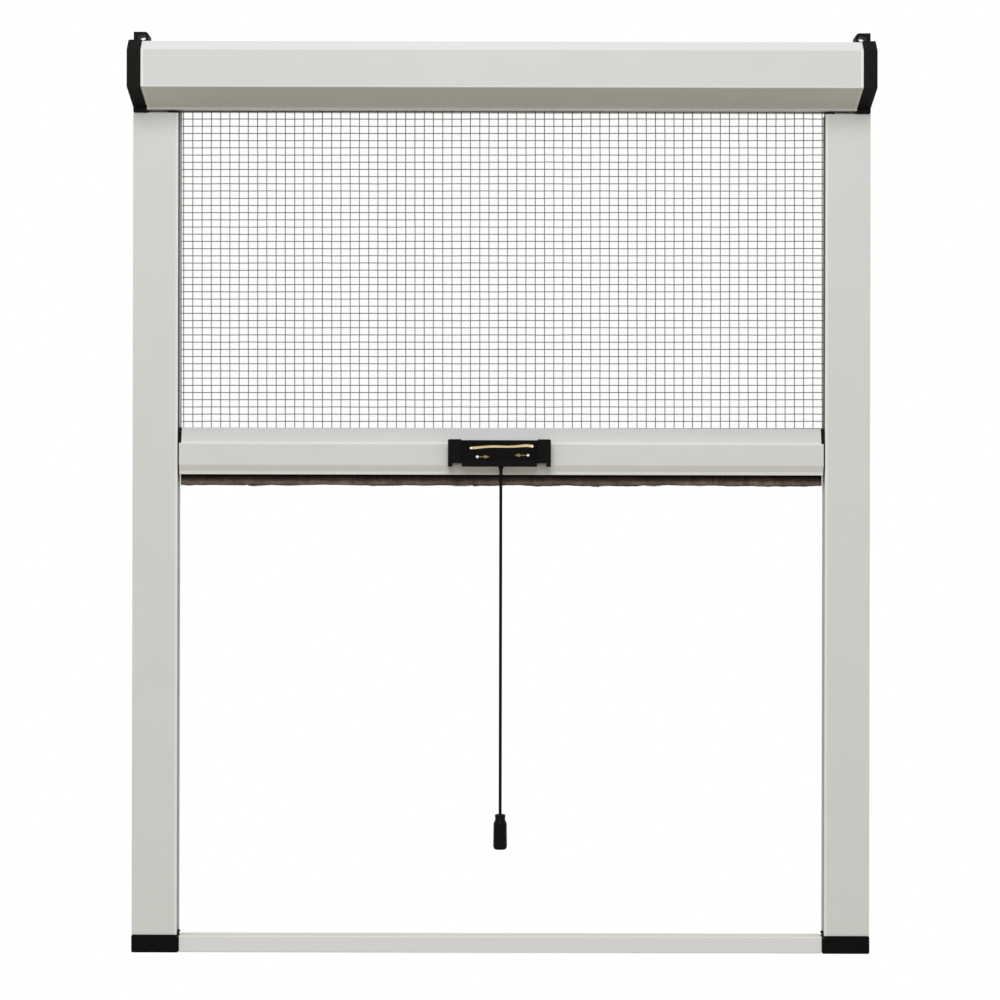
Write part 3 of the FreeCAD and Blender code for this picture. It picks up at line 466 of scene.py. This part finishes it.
def braid(name):
    """Braided black cord: two sets of yarns that wind round it in opposite directions."""
    made, tree, shader = new_material(name, srgb(12, 11, 11), 0.7, Specular_IOR_Level=0.08)
    spot = object_axes(tree)
    behind = math_node(tree, "SUBTRACT", spot["Y"], CORD_ROUTE[0][1] * MM)
    around = math_node(tree, "ARCTAN2", behind, spot["X"])
    rise = math_node(tree, "MULTIPLY", spot["Z"], 2 * math.pi / BRAID_PITCH)
    turned = math_node(tree, "MULTIPLY", around, BRAID_YARNS)
    yarns = [math_node(tree, "SINE", math_node(tree, way, rise, turned)) for way in ("ADD", "SUBTRACT")]
    height = math_node(tree, "MAXIMUM", *yarns)
    # Painted shade: the grooves between the yarns are darker
    colour = mix_colour(tree, spread_value(tree, height, 0.0, 1.0), srgb(3, 3, 3), srgb(14, 13, 12))
    feed(tree, shader["Base Color"], colour)
    add_bump(tree, shader, height, strength=0.35, distance=0.08 * MM)
    return made


ALL_MATERIALS = {
    "cassette": lacquer("lacquer_cassette", "x", CASSETTE_TINTS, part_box("cassette_profile")[1].x),
    "sill": lacquer("lacquer_sill", "x", SILL_TINTS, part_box("sill_bar")[1].x),
    "bar": lacquer("lacquer_bar", "x", BAR_TINTS),
    "guide": lacquer("lacquer_guide", "z", GUIDE_TINTS),
    "black": plastic("black_plastic", srgb(14, 14, 13), srgb(23, 23, 22), 0.5),
    "grip": plastic("grip_plastic", srgb(8, 8, 8), srgb(15, 14, 14), 0.5),
    "gloss": plastic("handle_gloss", srgb(8, 7, 7), srgb(14, 12, 12), 0.25, strength=0.08),
    "inner": plastic("inner_plastic", srgb(60, 60, 62), srgb(72, 72, 74), 0.5, gloss=0.4),
    "knob": plastic("knob_plastic", srgb(12, 11, 11), srgb(20, 19, 19), 0.42),
    "pile": fibre("guide_pile", srgb(120, 120, 118), srgb(165, 165, 162), 1.2 * MM, (1.0, 0.2, 1.0)),
    "brush": bristle("brush_bristle"),
    "thread": fibre("mesh_thread", srgb(108, 108, 108), srgb(130, 130, 129), 2.0 * MM),
    "bead": fibre("mesh_bead", srgb(52, 52, 52), srgb(72, 72, 71), 2.0 * MM),
    "selvedge": fibre("mesh_selvedge", srgb(60, 60, 60), srgb(82, 82, 82), 0.8 * MM),
    "tape": fibre("mesh_tape", srgb(158, 158, 157), srgb(182, 182, 181), 1.6 * MM),
    "weave": fine_weave("mesh_fine_weave"),
    "roll": fibre("mesh_turns", srgb(40, 40, 40), srgb(66, 66, 66), 1.6 * MM),
    "tube": metal("roller_aluminium", srgb(200, 200, 202), 0.32, (0.1, 1.0, 1.0)),
    "steel": metal("drawn_steel", srgb(176, 176, 178), 0.3),
    "cord": braid("cord_braid"),
    "gold": ink("gold_print", srgb(206, 176, 112), srgb(226, 212, 172)),
    "cream": ink("cream_print", srgb(240, 236, 214), srgb(250, 248, 236)),
    "olive": ink("olive_print", srgb(120, 106, 58), srgb(142, 130, 84)),
}

NODE_FINISH = {
    "cassette": ["cassette_profile"],
    "sill": ["sill_bar"],
    "bar": ["pull_bar"],
    "guide": ["side_guide_left", "side_guide_right"],
    "black": ["end_cap_left", "end_cap_right", "mesh_keder"],
    "grip": ["handle_grip", "bar_plug_left", "bar_plug_right", "cord_ferrule", "foot_left", "foot_right"],
    "gloss": ["handle_plate"],
    "inner": ["roller_bush", "spring_head", "spring_anchor"],
    "pile": [
        "guide_pile_left_front", "guide_pile_left_back", "guide_pile_right_front", "guide_pile_right_back",
    ],
    "roll": ["mesh_roll"],
    "tube": ["roller_tube"],
    "steel": ["spring_rod"],
    "cord": ["cord_knot"],
}


def finish_nodes():
    for finish, nodes in NODE_FINISH.items():
        for node in nodes:
            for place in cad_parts[node].material_slots:
                place.material = ALL_MATERIALS[finish]


# Pieces

def show(name, data):
    piece = bpy.data.objects.new(name, data)
    bpy.context.scene.collection.objects.link(piece)
    return piece


def mesh_piece(name, work, finishes):
    """A finished bmesh as an object with its materials."""
    data = bpy.data.meshes.new(name)
    work.to_mesh(data)
    work.free()
    for finish in finishes:
        data.materials.append(ALL_MATERIALS[finish])
    return show(name, data)


def hand_over(piece, node, body):
    """Hides the node that a piece stands in for, and hangs the piece on the body that it rides on."""
    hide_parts(node)
    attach(piece, body)


def baked(piece):
    """Applies a piece's modifiers for good."""
    bpy.context.view_layer.update()
    seen = piece.evaluated_get(bpy.context.evaluated_depsgraph_get())
    data = bpy.data.meshes.new_from_object(seen)
    piece.modifiers.clear()
    piece.data = data
    data.name = piece.name
    return piece


def grow(work, tree, values, finish):
    """Adds what a Geometry Nodes tree makes from the values to the bmesh, with one finish."""
    piece = show(tree.name, bpy.data.meshes.new(tree.name))
    modifier = piece.modifiers.new(tree.name, "NODES")
    modifier.node_group = tree
    for item in tree.interface.items_tree:
        if item.in_out == "INPUT":
            modifier[item.identifier] = values[item.name]
    baked(piece)
    done = len(work.faces)
    work.from_mesh(piece.data)
    work.faces.ensure_lookup_table()
    for face in work.faces[done:]:
        face.material_index = finish
    bpy.data.objects.remove(piece)


def end_tree(tree, end, geometry, look):
    """Ends a tree in real geometry with one material."""
    real = add(tree, "GeometryNodeRealizeInstances", {0: geometry})
    paint = add(tree, "GeometryNodeSetMaterial", {"Geometry": real.outputs[0], "Material": look})
    feed(tree, end[0], paint.outputs[0])


def random_value(tree, low, high, seed, step=0):
    """A random number or vector for each point, its seed moved on by the step."""
    vector = isinstance(low, tuple)
    first = 0 if vector else 2
    feeds = {first: low, first + 1: high, "Seed": math_node(tree, "ADD", seed, float(step))}
    node = add(tree, "FunctionNodeRandomValue", feeds, data_type="FLOAT_VECTOR" if vector else "FLOAT")
    return node.outputs[0 if vector else 1]


def cloth_tree(name):
    """A tree with the cloth's measures, its height, and the number of threads across it and up it."""
    tree, given, end = new_tree(name, "GeometryNodeTree", (
        ("Left", "Float"), ("Width", "Float"), ("Top", "Float"), ("Floor", "Float"), ("Depth", "Float"),
        ("Columns", "Int"), ("Rows", "Int"), ("Radius", "Float"), ("Weave", "Float"), ("Uneven", "Float"),
        ("Seed", "Int"), ("Look", "Material"),
    ), (("Geometry", "Geometry"),))
    height = math_node(tree, "SUBTRACT", given["Top"], given["Floor"])
    across = math_node(tree, "ADD", given["Columns"], 1.0)
    upward = math_node(tree, "ADD", given["Rows"], 1.0)
    return tree, given, end, height, across, upward


def end_cloth(tree, given, end, geometry):
    """Presses the cloth flat about its own depth, turns it to undo the camera's roll, and paints it."""
    shift = combine(tree, 0.0, math_node(tree, "MULTIPLY", given["Depth"], 1.0 - THREAD_FLATNESS), 0.0)
    press = add(tree, "GeometryNodeTransform", {
        "Geometry": geometry, "Translation": shift, "Rotation": (0.0, MESH_TILT, 0.0),
        "Scale": (1.0, THREAD_FLATNESS, 1.0),
    })
    end_tree(tree, end, press.outputs[0], given["Look"])


def thread_tree():
    """Threads laid side by side and across each other in a plain weave, a little uneven."""
    tree, given, end, height, across, upward = cloth_tree("woven_threads")
    left, floor, depth = given["Left"], given["Floor"], given["Depth"]
    corner = combine(tree, left, depth, floor)
    low_right = combine(tree, math_node(tree, "ADD", left, given["Width"]), depth, floor)
    top_left = combine(tree, left, depth, given["Top"])
    sets = (
        (combine(tree, 0.0, 0.0, height), upward, low_right, across, 1.0),
        (combine(tree, given["Width"], 0.0, 0.0), across, top_left, upward, -1.0),
    )
    joined = add(tree, "GeometryNodeJoinGeometry")
    for number, (reach, points, last, copies, side) in enumerate(sets):
        line = add(tree, "GeometryNodeCurvePrimitiveLine", {"End": reach})
        cut = add(tree, "GeometryNodeResampleCurve", {"Curve": line.outputs[0], "Count": points})
        spots = add(tree, "GeometryNodeMeshLine", {
            "Count": copies, "Start Location": corner, "Offset": last,
        }, mode="END_POINTS")
        keep = add(tree, "GeometryNodeStoreNamedAttribute", {
            "Geometry": spots.outputs[0], "Name": "thread_size",
            "Value": random_value(tree, *THREAD_SPREAD, given["Seed"], number),
        }, data_type="FLOAT", domain="POINT")
        copy = add(tree, "GeometryNodeInstanceOnPoints", {
            "Points": keep.outputs[0], "Instance": cut.outputs[0],
        })
        real = add(tree, "GeometryNodeRealizeInstances", {0: copy.outputs[0]})
        move = add(tree, "GeometryNodeSetPosition", {
            "Geometry": real.outputs[0], "Offset": weave_offset(tree, given, height, side),
        })
        size = add(tree, "GeometryNodeInputNamedAttribute", {"Name": "thread_size"}, data_type="FLOAT")
        thick = add(tree, "GeometryNodeSetCurveRadius", {
            "Curve": move.outputs[0], "Radius": size.outputs[0],
        })
        ring = add(tree, "GeometryNodeCurvePrimitiveCircle", {
            "Resolution": THREAD_SIDES, "Radius": given["Radius"],
        })
        tube = add(tree, "GeometryNodeCurveToMesh", {
            "Curve": thick.outputs[0], "Profile Curve": ring.outputs[0], "Fill Caps": True,
        })
        feed(tree, joined.inputs[0], tube.outputs[0])
    end_cloth(tree, given, end, joined.outputs[0])
    return tree


def bead_tree():
    """The flattened beads of coating that fuse the two threads at each crossing."""
    tree, given, end, height, across, upward = cloth_tree("crossing_beads")
    grid = add(tree, "GeometryNodeMeshGrid", {
        "Size X": given["Width"], "Size Y": height, "Vertices X": across, "Vertices Y": upward,
    })
    middle_x = math_node(tree, "ADD", given["Left"], math_node(tree, "MULTIPLY", given["Width"], 0.5))
    middle_z = math_node(tree, "ADD", given["Floor"], math_node(tree, "MULTIPLY", height, 0.5))
    stand = add(tree, "GeometryNodeTransform", {
        "Geometry": grid.outputs["Mesh"], "Translation": combine(tree, middle_x, given["Depth"], middle_z),
        "Rotation": (math.pi / 2, 0.0, 0.0),
    })
    move = add(tree, "GeometryNodeSetPosition", {
        "Geometry": stand.outputs[0], "Offset": weave_offset(tree, given, height, 0.0),
    })
    bead = add(tree, "GeometryNodeMeshIcoSphere", {"Subdivisions": 1, "Radius": given["Radius"]})
    copy = add(tree, "GeometryNodeInstanceOnPoints", {
        "Points": move.outputs[0], "Instance": bead.outputs["Mesh"],
        "Scale": random_value(tree, *BEAD_SPREAD, given["Seed"]),
    })
    end_cloth(tree, given, end, copy.outputs[0])
    return tree


def weave_offset(tree, given, height, side):
    """Over and under at each crossing, and a slight wander that threads and beads share."""
    place = add(tree, "GeometryNodeInputPosition").outputs[0]
    spot = split_axes(tree, place)
    waves = []
    for length, count, along in (
        (given["Width"], given["Columns"], math_node(tree, "SUBTRACT", spot["X"], given["Left"])),
        (height, given["Rows"], math_node(tree, "SUBTRACT", spot["Z"], given["Floor"])),
    ):
        turns = math_node(tree, "DIVIDE", math_node(tree, "MULTIPLY", along, count), length)
        waves.append(math_node(tree, "COSINE", math_node(tree, "MULTIPLY", turns, math.pi)))
    depth = math_node(tree, "MULTIPLY", given["Weave"], side)
    lift = math_node(tree, "MULTIPLY", math_node(tree, "MULTIPLY", *waves), depth)
    field = add(tree, "ShaderNodeTexNoise", {
        "Vector": place, "W": given["Seed"], "Scale": WANDER_SCALE, "Detail": 3.0,
    }, noise_dimensions="4D")
    around = vector_node(tree, "SUBTRACT", field.outputs["Color"], MIDDLE)
    wander = vector_node(tree, "SCALE", around, given["Uneven"])
    flat = vector_node(tree, "MULTIPLY", wander, (1.0, 0.0, 1.0))
    return vector_node(tree, "ADD", flat, combine(tree, 0.0, lift, 0.0))


def close_rings(work, rings, finish=0):
    """Faces along a row of rings of corners, each ring joined to the next, with a face at either end."""
    faces = [list(reversed(rings[0])), rings[-1]]
    for first, second in zip(rings, rings[1:]):
        for i in range(len(first)):
            j = (i + 1) % len(first)
            faces.append([first[i], first[j], second[j], second[i]])
    made = [work.faces.new(corners) for corners in faces]
    for face in made:
        face.material_index = finish
    return made


def add_slab(work, low, high, rows, finish):
    """A closed flat slab in rows, so that it can stretch with the mesh."""
    rings = []
    for row in range(rows + 1):
        z = low.z + (high.z - low.z) * row / rows
        corners = ((low.x, low.y), (high.x, low.y), (high.x, high.y), (low.x, high.y))
        rings.append([work.verts.new((x, y, z)) for x, y in corners])
    close_rings(work, rings, finish)


def make_screen():
    """The hanging mesh: threads, the finest yarns between them, selvedges and a pale tape at the left."""
    low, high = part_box("screen_mesh")
    edge = high.x
    depth = (low.y + high.y) / 2
    rows = round((MESH_TOP - MESH_FLOOR) / PITCH_Z)
    work = bmesh.new()
    for tree, radius, finish in (
        (thread_tree(), THREAD_RADIUS, "thread"),
        (bead_tree(), BEAD_RADIUS, "bead"),
    ):
        grow(work, tree, {
            "Left": THREAD_LEFT, "Width": THREAD_COLUMNS * PITCH_X, "Top": MESH_TOP, "Floor": MESH_FLOOR,
            "Depth": depth, "Columns": THREAD_COLUMNS, "Rows": rows, "Radius": radius, "Weave": WEAVE_DEPTH,
            "Uneven": WANDER, "Seed": WEAVE_SEED, "Look": ALL_MATERIALS[finish],
        }, SCREEN_FINISHES.index(finish))
    for near, far, thick, finish in (
        (-edge, -SELVEDGE_INNER, SELVEDGE_THICK, "selvedge"),
        (SELVEDGE_INNER, edge, SELVEDGE_THICK, "selvedge"),
        (-SELVEDGE_INNER, -TAPE_INNER, TAPE_THICK, "tape"),
    ):
        foot = Vector((near, depth - thick / 2, MESH_FLOOR))
        head = Vector((far, depth + thick / 2, MESH_TOP))
        add_slab(work, foot, head, rows, SCREEN_FINISHES.index(finish))
    grid = [[work.verts.new((x * SELVEDGE_INNER, depth, MESH_FLOOR + (MESH_TOP - MESH_FLOOR) * row / rows))
             for x in (-1, 1)] for row in range(rows + 1)]
    for below, above in zip(grid, grid[1:]):
        face = work.faces.new([below[0], below[1], above[1], above[0]])
        face.material_index = SCREEN_FINISHES.index("weave")
    screen = mesh_piece("insect_screen", work, SCREEN_FINISHES)
    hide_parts("screen_mesh")
    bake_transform(screen)


def bristle_tree():
    """Bristles scattered along a strip, in tufts that lean and differ in length, trimmed at both ends."""
    tree, given, end = new_tree("brush_bristles", "GeometryNodeTree", (
        ("Length", "Float"), ("Trim", "Float"), ("Count", "Int"), ("Root", "Vector"), ("Reach", "Float"),
        ("Radius", "Float"), ("Spread", "Float"), ("Seed", "Int"), ("Look", "Material"),
    ), (("Geometry", "Geometry"),))
    root = split_axes(tree, given["Root"])
    half = math_node(tree, "MULTIPLY", given["Length"], 0.5)
    first = combine(tree, math_node(tree, "MULTIPLY", half, -1.0), root["Y"], root["Z"])
    last = combine(tree, half, root["Y"], root["Z"])
    spots = add(tree, "GeometryNodeMeshLine", {
        "Count": given["Count"], "Start Location": first, "Offset": last,
    }, mode="END_POINTS")
    aside = math_node(tree, "MULTIPLY", random_value(tree, -1.0, 1.0, given["Seed"]), given["Spread"])
    scatter = add(tree, "GeometryNodeSetPosition", {
        "Geometry": spots.outputs[0], "Offset": combine(tree, 0.0, aside, 0.0),
    })
    place = add(tree, "GeometryNodeInputPosition").outputs[0]
    tuft = add(tree, "ShaderNodeTexNoise", {"Vector": place, "Scale": TUFT_SCALE, "Detail": 3.0})
    lean = vector_node(tree, "SUBTRACT", tuft.outputs["Color"], MIDDLE)
    swing = vector_node(tree, "MULTIPLY", lean, TUFT_LEAN)
    shake = (BRISTLE_JITTER, BRISTLE_JITTER, 0.0)
    jitter = random_value(tree, tuple(-v for v in shake), shake, given["Seed"], 1)
    clump = add(tree, "ShaderNodeTexNoise", {"Vector": place, "Scale": CLUMP_SCALE, "Detail": 4.0})
    ragged = random_value(tree, 0.0, BRISTLE_RAGGED, given["Seed"], 2)
    size = math_node(tree, "SUBTRACT", spread_value(tree, clump.outputs["Fac"], *BRISTLE_LENGTHS), ragged)
    hair = add(tree, "GeometryNodeMeshCone", {
        "Vertices": 3, "Radius Bottom": math_node(tree, "MULTIPLY", given["Radius"], BRISTLE_TAPER),
        "Radius Top": given["Radius"], "Depth": given["Reach"],
    }, fill_type="NONE")
    down = combine(tree, 0.0, 0.0, math_node(tree, "MULTIPLY", given["Reach"], -1.0))
    hang = add(tree, "GeometryNodeTransform", {"Geometry": hair.outputs["Mesh"], "Translation": down})
    copy = add(tree, "GeometryNodeInstanceOnPoints", {
        "Points": scatter.outputs[0], "Instance": hang.outputs[0],
        "Rotation": vector_node(tree, "ADD", swing, jitter),
        "Scale": combine(tree, 1.0, 1.0, math_node(tree, "MINIMUM", size, 1.0)),
    })
    real = add(tree, "GeometryNodeRealizeInstances", {0: copy.outputs[0]})
    spot = split_axes(tree, place)
    edge = math_node(tree, "MULTIPLY", given["Trim"], 0.5)
    held = math_node(tree, "MAXIMUM", spot["X"], math_node(tree, "MULTIPLY", edge, -1.0))
    inside = combine(tree, math_node(tree, "MINIMUM", held, edge), spot["Y"], spot["Z"])
    trim = add(tree, "GeometryNodeSetPosition", {"Geometry": real.outputs[0], "Position": inside})
    end_tree(tree, end, trim.outputs[0], given["Look"])
    return tree


def add_core(work, low, high, root, depth):
    """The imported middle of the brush, a closed strip whose lower edge rises and falls."""
    steps = round((high.x - low.x) / CORE_STEP)
    wide, middle, narrow = CORE_HALF_WIDTHS
    rings = []
    for step in range(steps + 1):
        x = low.x + (high.x - low.x) * step / steps
        wave = sum(share * noise.noise(Vector((x * scale, shift, 0.0))) for scale, shift, share in CORE_WAVES)
        floor = low.z + CORE_RISE + CORE_WAVE * wave
        shoulder = floor + CORE_SHOULDER
        spots = ((-wide, root), (-middle, shoulder), (-narrow, floor),
                 (narrow, floor), (middle, shoulder), (wide, root))
        rings.append([work.verts.new((x, depth + y * MM, z)) for y, z in spots])
    bmesh.ops.recalc_face_normals(work, faces=close_rings(work, rings))


def make_brush():
    """The brush under the pull bar: its backing strip, a dense core with a wavy edge, and the bristles."""
    low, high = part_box("bar_brush")
    width = high.x - low.x
    depth = (low.y + high.y) / 2
    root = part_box("pull_bar")[0].z + BRUSH_ROOT
    work = bmesh.new()
    count = round(width / BRISTLE_STEP) * BRISTLES_PER_STEP
    grow(work, bristle_tree(), {
        "Length": width - BRUSH_MARGIN, "Trim": width, "Count": count, "Root": (0.0, depth, root),
        "Reach": root - low.z, "Radius": BRISTLE_RADIUS, "Spread": BRISTLE_SCATTER, "Seed": BRISTLE_SEED,
        "Look": ALL_MATERIALS["brush"],
    }, 0)
    add_slab(work, Vector((low.x, low.y, root)), high, 1, 0)
    add_core(work, low, high, root, depth)
    hand_over(mesh_piece("bar_bristles", work, ["brush"]), "bar_brush", "bar")


def add_turned(work, profile, place, steps):
    """A turned closed shape, from the (radius, height) corners of its section, moved by the matrix."""
    rings = []
    for radius, height in profile:
        turns = [2 * math.pi * step / steps for step in range(steps if radius else 1)]
        ring = [Vector((radius * math.cos(turn), radius * math.sin(turn), height)) for turn in turns]
        rings.append([work.verts.new(place @ spot) for spot in ring])
    pairs = list(zip(rings, rings[1:]))
    if profile[0][0]:
        pairs.append((rings[-1], rings[0]))
    made = []
    for first, second in pairs:
        for i in range(steps):
            j = (i + 1) % steps
            places = ((first, i), (first, j), (second, j), (second, i))
            corners = [ring[step % len(ring)] for ring, step in places]
            made.append(work.faces.new(list(dict.fromkeys(corners))))
    bmesh.ops.recalc_face_normals(work, faces=made)


def smooth(piece):
    for polygon in piece.data.polygons:
        polygon.use_smooth = True
    piece.data.set_sharp_from_angle(angle=SHARP)


def make_knob():
    """The pendant: a lipped neck with a slight waist, and a body that flares to a chamfered foot."""
    low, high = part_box("cord_knob")
    top = high.z - KNOB_LOWERED
    hollow_top = low.z + KNOB_HOLLOW_DEEP
    bore = CORD_RADIUS * KNOB_FIT
    wide, deep = KNOB_CHAMFER
    profile = [(bore, top - deep), (bore + wide, top)]
    profile += [(radius * MM, top - drop * MM) for radius, drop in KNOB_OUTLINE]
    profile += [(KNOB_HOLLOW, hollow_top), (bore, hollow_top)]
    work = bmesh.new()
    add_turned(work, profile, Matrix.Translation(Vector((*CORD_ROUTE[0][:2], 0)) * MM), KNOB_STEPS)
    knob = mesh_piece("pendant_knob", work, ["knob"])
    smooth(knob)
    hand_over(knob, "cord_knob", "bar")
    return knob


def make_screws():
    """The cap screws with a domed head, a cross recess and a thread."""
    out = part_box("cap_screws")[1].x
    thread = [(SCREW_CREST if half % 2 else SCREW_GROOVE, SCREW_THREAD_TOP - SCREW_THREAD_STEP * half)
              for half in range(SCREW_THREAD_RINGS)]
    profile = [(radius * MM, height * MM) for radius, height in (*SCREW_HEAD, *thread, *SCREW_TIP)]
    arm, half = RECESS_ARM, RECESS_HALF
    cross = [(arm, half), (half, half), (half, arm), (-half, arm), (-half, half), (-arm, half),
             (-arm, -half), (-half, -half), (-half, -arm), (half, -arm), (half, -half), (arm, -half)]
    work = bmesh.new()
    cutter = bmesh.new()
    for side in (-1, 1):
        outward = Matrix.Rotation(side * math.pi / 2, 4, "Y")
        for y, z in SCREW_SPOTS:
            place = Matrix.Translation((side * out, y * MM, z * MM)) @ outward
            add_turned(work, profile, place, SCREW_STEPS)
            ends = [[cutter.verts.new(place @ Vector((*spot, height * MM))) for spot in cross]
                    for height in RECESS_HEIGHTS]
            bmesh.ops.recalc_face_normals(cutter, faces=close_rings(cutter, ends))
    screws = mesh_piece("pan_head_screws", work, ["steel"])
    tool = mesh_piece("screw_recesses", cutter, ["steel"])
    cut = screws.modifiers.new("recess", "BOOLEAN")
    cut.operation = "DIFFERENCE"
    cut.object = tool
    baked(screws)
    bpy.data.objects.remove(tool)
    smooth(screws)
    hand_over(screws, "cap_screws", "frame")


def make_spring():
    """The torsion spring as close wound wire."""
    low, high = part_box("torsion_spring")
    axis = (low + high) / 2
    mean_radius = (high.z - low.z) / 2 - WIRE_RADIUS
    turns = (high.x - low.x - 2 * WIRE_RADIUS) / WIRE_PITCH
    steps = round(turns * WIRE_STEPS)
    work = bmesh.new()
    rings = []
    for step in range(steps + 1):
        turn = 2 * math.pi * turns * step / steps
        outward = Vector((0, math.cos(turn), math.sin(turn)))
        middle = Vector((low.x + WIRE_RADIUS + WIRE_PITCH * turns * step / steps, axis.y, axis.z))
        middle += outward * mean_radius
        angles = [2 * math.pi * corner / WIRE_SIDES for corner in range(WIRE_SIDES)]
        ring = [outward * math.cos(angle) + Vector((math.sin(angle), 0, 0)) for angle in angles]
        rings.append([work.verts.new(middle + WIRE_RADIUS * spot) for spot in ring])
    bmesh.ops.recalc_face_normals(work, faces=close_rings(work, rings))
    spring = mesh_piece("wound_spring", work, ["steel"])
    smooth(spring)
    hand_over(spring, "torsion_spring", "frame")


def make_cord(knob):
    """The cord as one NURBS line through its route, with its braid in the material."""
    data = bpy.data.curves.new("pull_cord_braid", "CURVE")
    data.dimensions = "3D"
    data.bevel_depth = CORD_RADIUS
    data.bevel_resolution = 6
    data.resolution_u = 24
    data.use_fill_caps = True
    line = data.splines.new("NURBS")
    line.points.add(len(CORD_ROUTE) - 1)
    for point, spot in zip(line.points, CORD_ROUTE):
        point.co = (*(Vector(spot) * MM), 1.0)
    line.order_u = 3
    line.use_endpoint_u = True
    data.materials.append(ALL_MATERIALS["cord"])
    cord = show("pull_cord_braid", data)
    hand_over(cord, "pull_cord", "bar")


def add_print(work, outline, ink_name):
    """A closed thin slab of print on the plate's front, from its outline in millimetres as (x, z)."""
    finish = list(INKS).index(ink_name)
    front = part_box("handle_plate")[0].y
    depths = (front + PRINT_SUNK * (1 + finish), front - INKS[ink_name])
    layers = [[work.verts.new((x * MM, y, z * MM)) for x, z in outline] for y in depths]
    bmesh.ops.recalc_face_normals(work, faces=close_rings(work, layers, finish))


def blob(x, z, wide, high):
    turns = [2 * math.pi * step / DOT_STEPS for step in range(DOT_STEPS)]
    return [(x + wide * math.cos(turn), z + high * math.sin(turn)) for turn in turns]


def make_print():
    """Plain ornament on the grip's plate: a wavy gold line with pale ends, and two pointers with dots."""
    work = bmesh.new()
    upper = [(x, z + half) for x, z, half in PRINT_LINE]
    lower = [(x, z - half) for x, z, half in reversed(PRINT_LINE)]
    add_print(work, upper + lower, "gold")
    for x, z, size in PRINT_ENDS:
        add_print(work, blob(x, z, size, size), "cream")
    for x, z, tip, size in POINTERS:
        way = 1 if tip > x else -1
        start, end = x + way * STEM_START, tip - way * STEM_END
        add_print(work, blob(x, z, size * DOT_WIDTH, size), "cream")
        top, floor = z + STEM_HALF, z - STEM_HALF
        add_print(work, [(start, top), (end, top), (end, floor), (start, floor)], "olive")
        back, widest = tip - way * BARB_BACK, tip - way * BARB_WIDEST
        add_print(work, [(back, z), (widest, z + BARB_HALF), (tip, z), (widest, z - BARB_HALF)], "olive")
    ornament = mesh_piece("plate_print", work, list(INKS))
    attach(ornament, "bar")


# Camera, light and stage

def make_camera():
    data = bpy.data.cameras.new("camera")
    data.lens = LENS
    data.sensor_width = SENSOR
    camera = show("camera", data)
    level = Matrix.Translation(EYE) @ Matrix.Rotation(math.pi / 2, 4, "X")
    camera.matrix_world = level @ Matrix.Rotation(ROLL, 4, "Z")
    bpy.context.scene.camera = camera


def make_key():
    """One large softbox in front of the screen and above it."""
    data = bpy.data.lights.new("key_softbox", "AREA")
    data.shape = "RECTANGLE"
    data.size, data.size_y = KEY_SIZE
    data.energy = KEY_POWER
    lamp = show("key_softbox", data)
    lamp.location = KEY_SPOT
    lamp.rotation_euler = (Vector(KEY_AIM) - Vector(KEY_SPOT)).to_track_quat("-Z", "Y").to_euler()


def make_world():
    """White where it is seen or mirrored, and a lower even light on surfaces."""
    world = bpy.data.worlds.new("studio")
    bpy.context.scene.world = world
    world.use_nodes = True
    tree = world.node_tree
    rays = add(tree, "ShaderNodeLightPath").outputs
    seen = math_node(tree, "MAXIMUM", rays["Is Camera Ray"], rays["Is Transmission Ray"])
    seen = math_node(tree, "MAXIMUM", seen, rays["Is Glossy Ray"])
    shade = tree.nodes["Background"].inputs
    shade["Color"].default_value = (1.0, 1.0, 1.0, 1.0)
    strength = math_node(tree, "ADD", AMBIENT, math_node(tree, "MULTIPLY", seen, 1.0 - AMBIENT))
    feed(tree, shade["Strength"], strength)


def make_floor():
    """A pale warm floor, clear below the pendant's lowest place and out of the front view."""
    work = bmesh.new()
    corners = [(-FLOOR_REACH, -FLOOR_REACH), (FLOOR_REACH, -FLOOR_REACH),
               (FLOOR_REACH, FLOOR_BACK), (-FLOOR_REACH, FLOOR_BACK)]
    work.faces.new([work.verts.new((x, y, FLOOR_Z)) for x, y in corners])
    made, tree, shader = new_material("warm_floor", srgb(222, 212, 191), 0.7)
    skin = grained(tree, mottle=200 * MM, grain=2 * MM)
    colour = mix_colour(tree, skin["Mottle"], srgb(224, 214, 193), srgb(218, 208, 187))
    feed(tree, shader["Base Color"], colour)
    ALL_MATERIALS["floor"] = made
    mesh_piece("floor", work, ["floor"])


bpy.context.scene.view_settings.view_transform = "Standard"
finish_nodes()
make_screen()
make_brush()
make_cord(make_knob())
make_print()
make_screws()
make_spring()
make_camera()
make_world()
make_key()
make_floor()

bpy.context.view_layer.update()
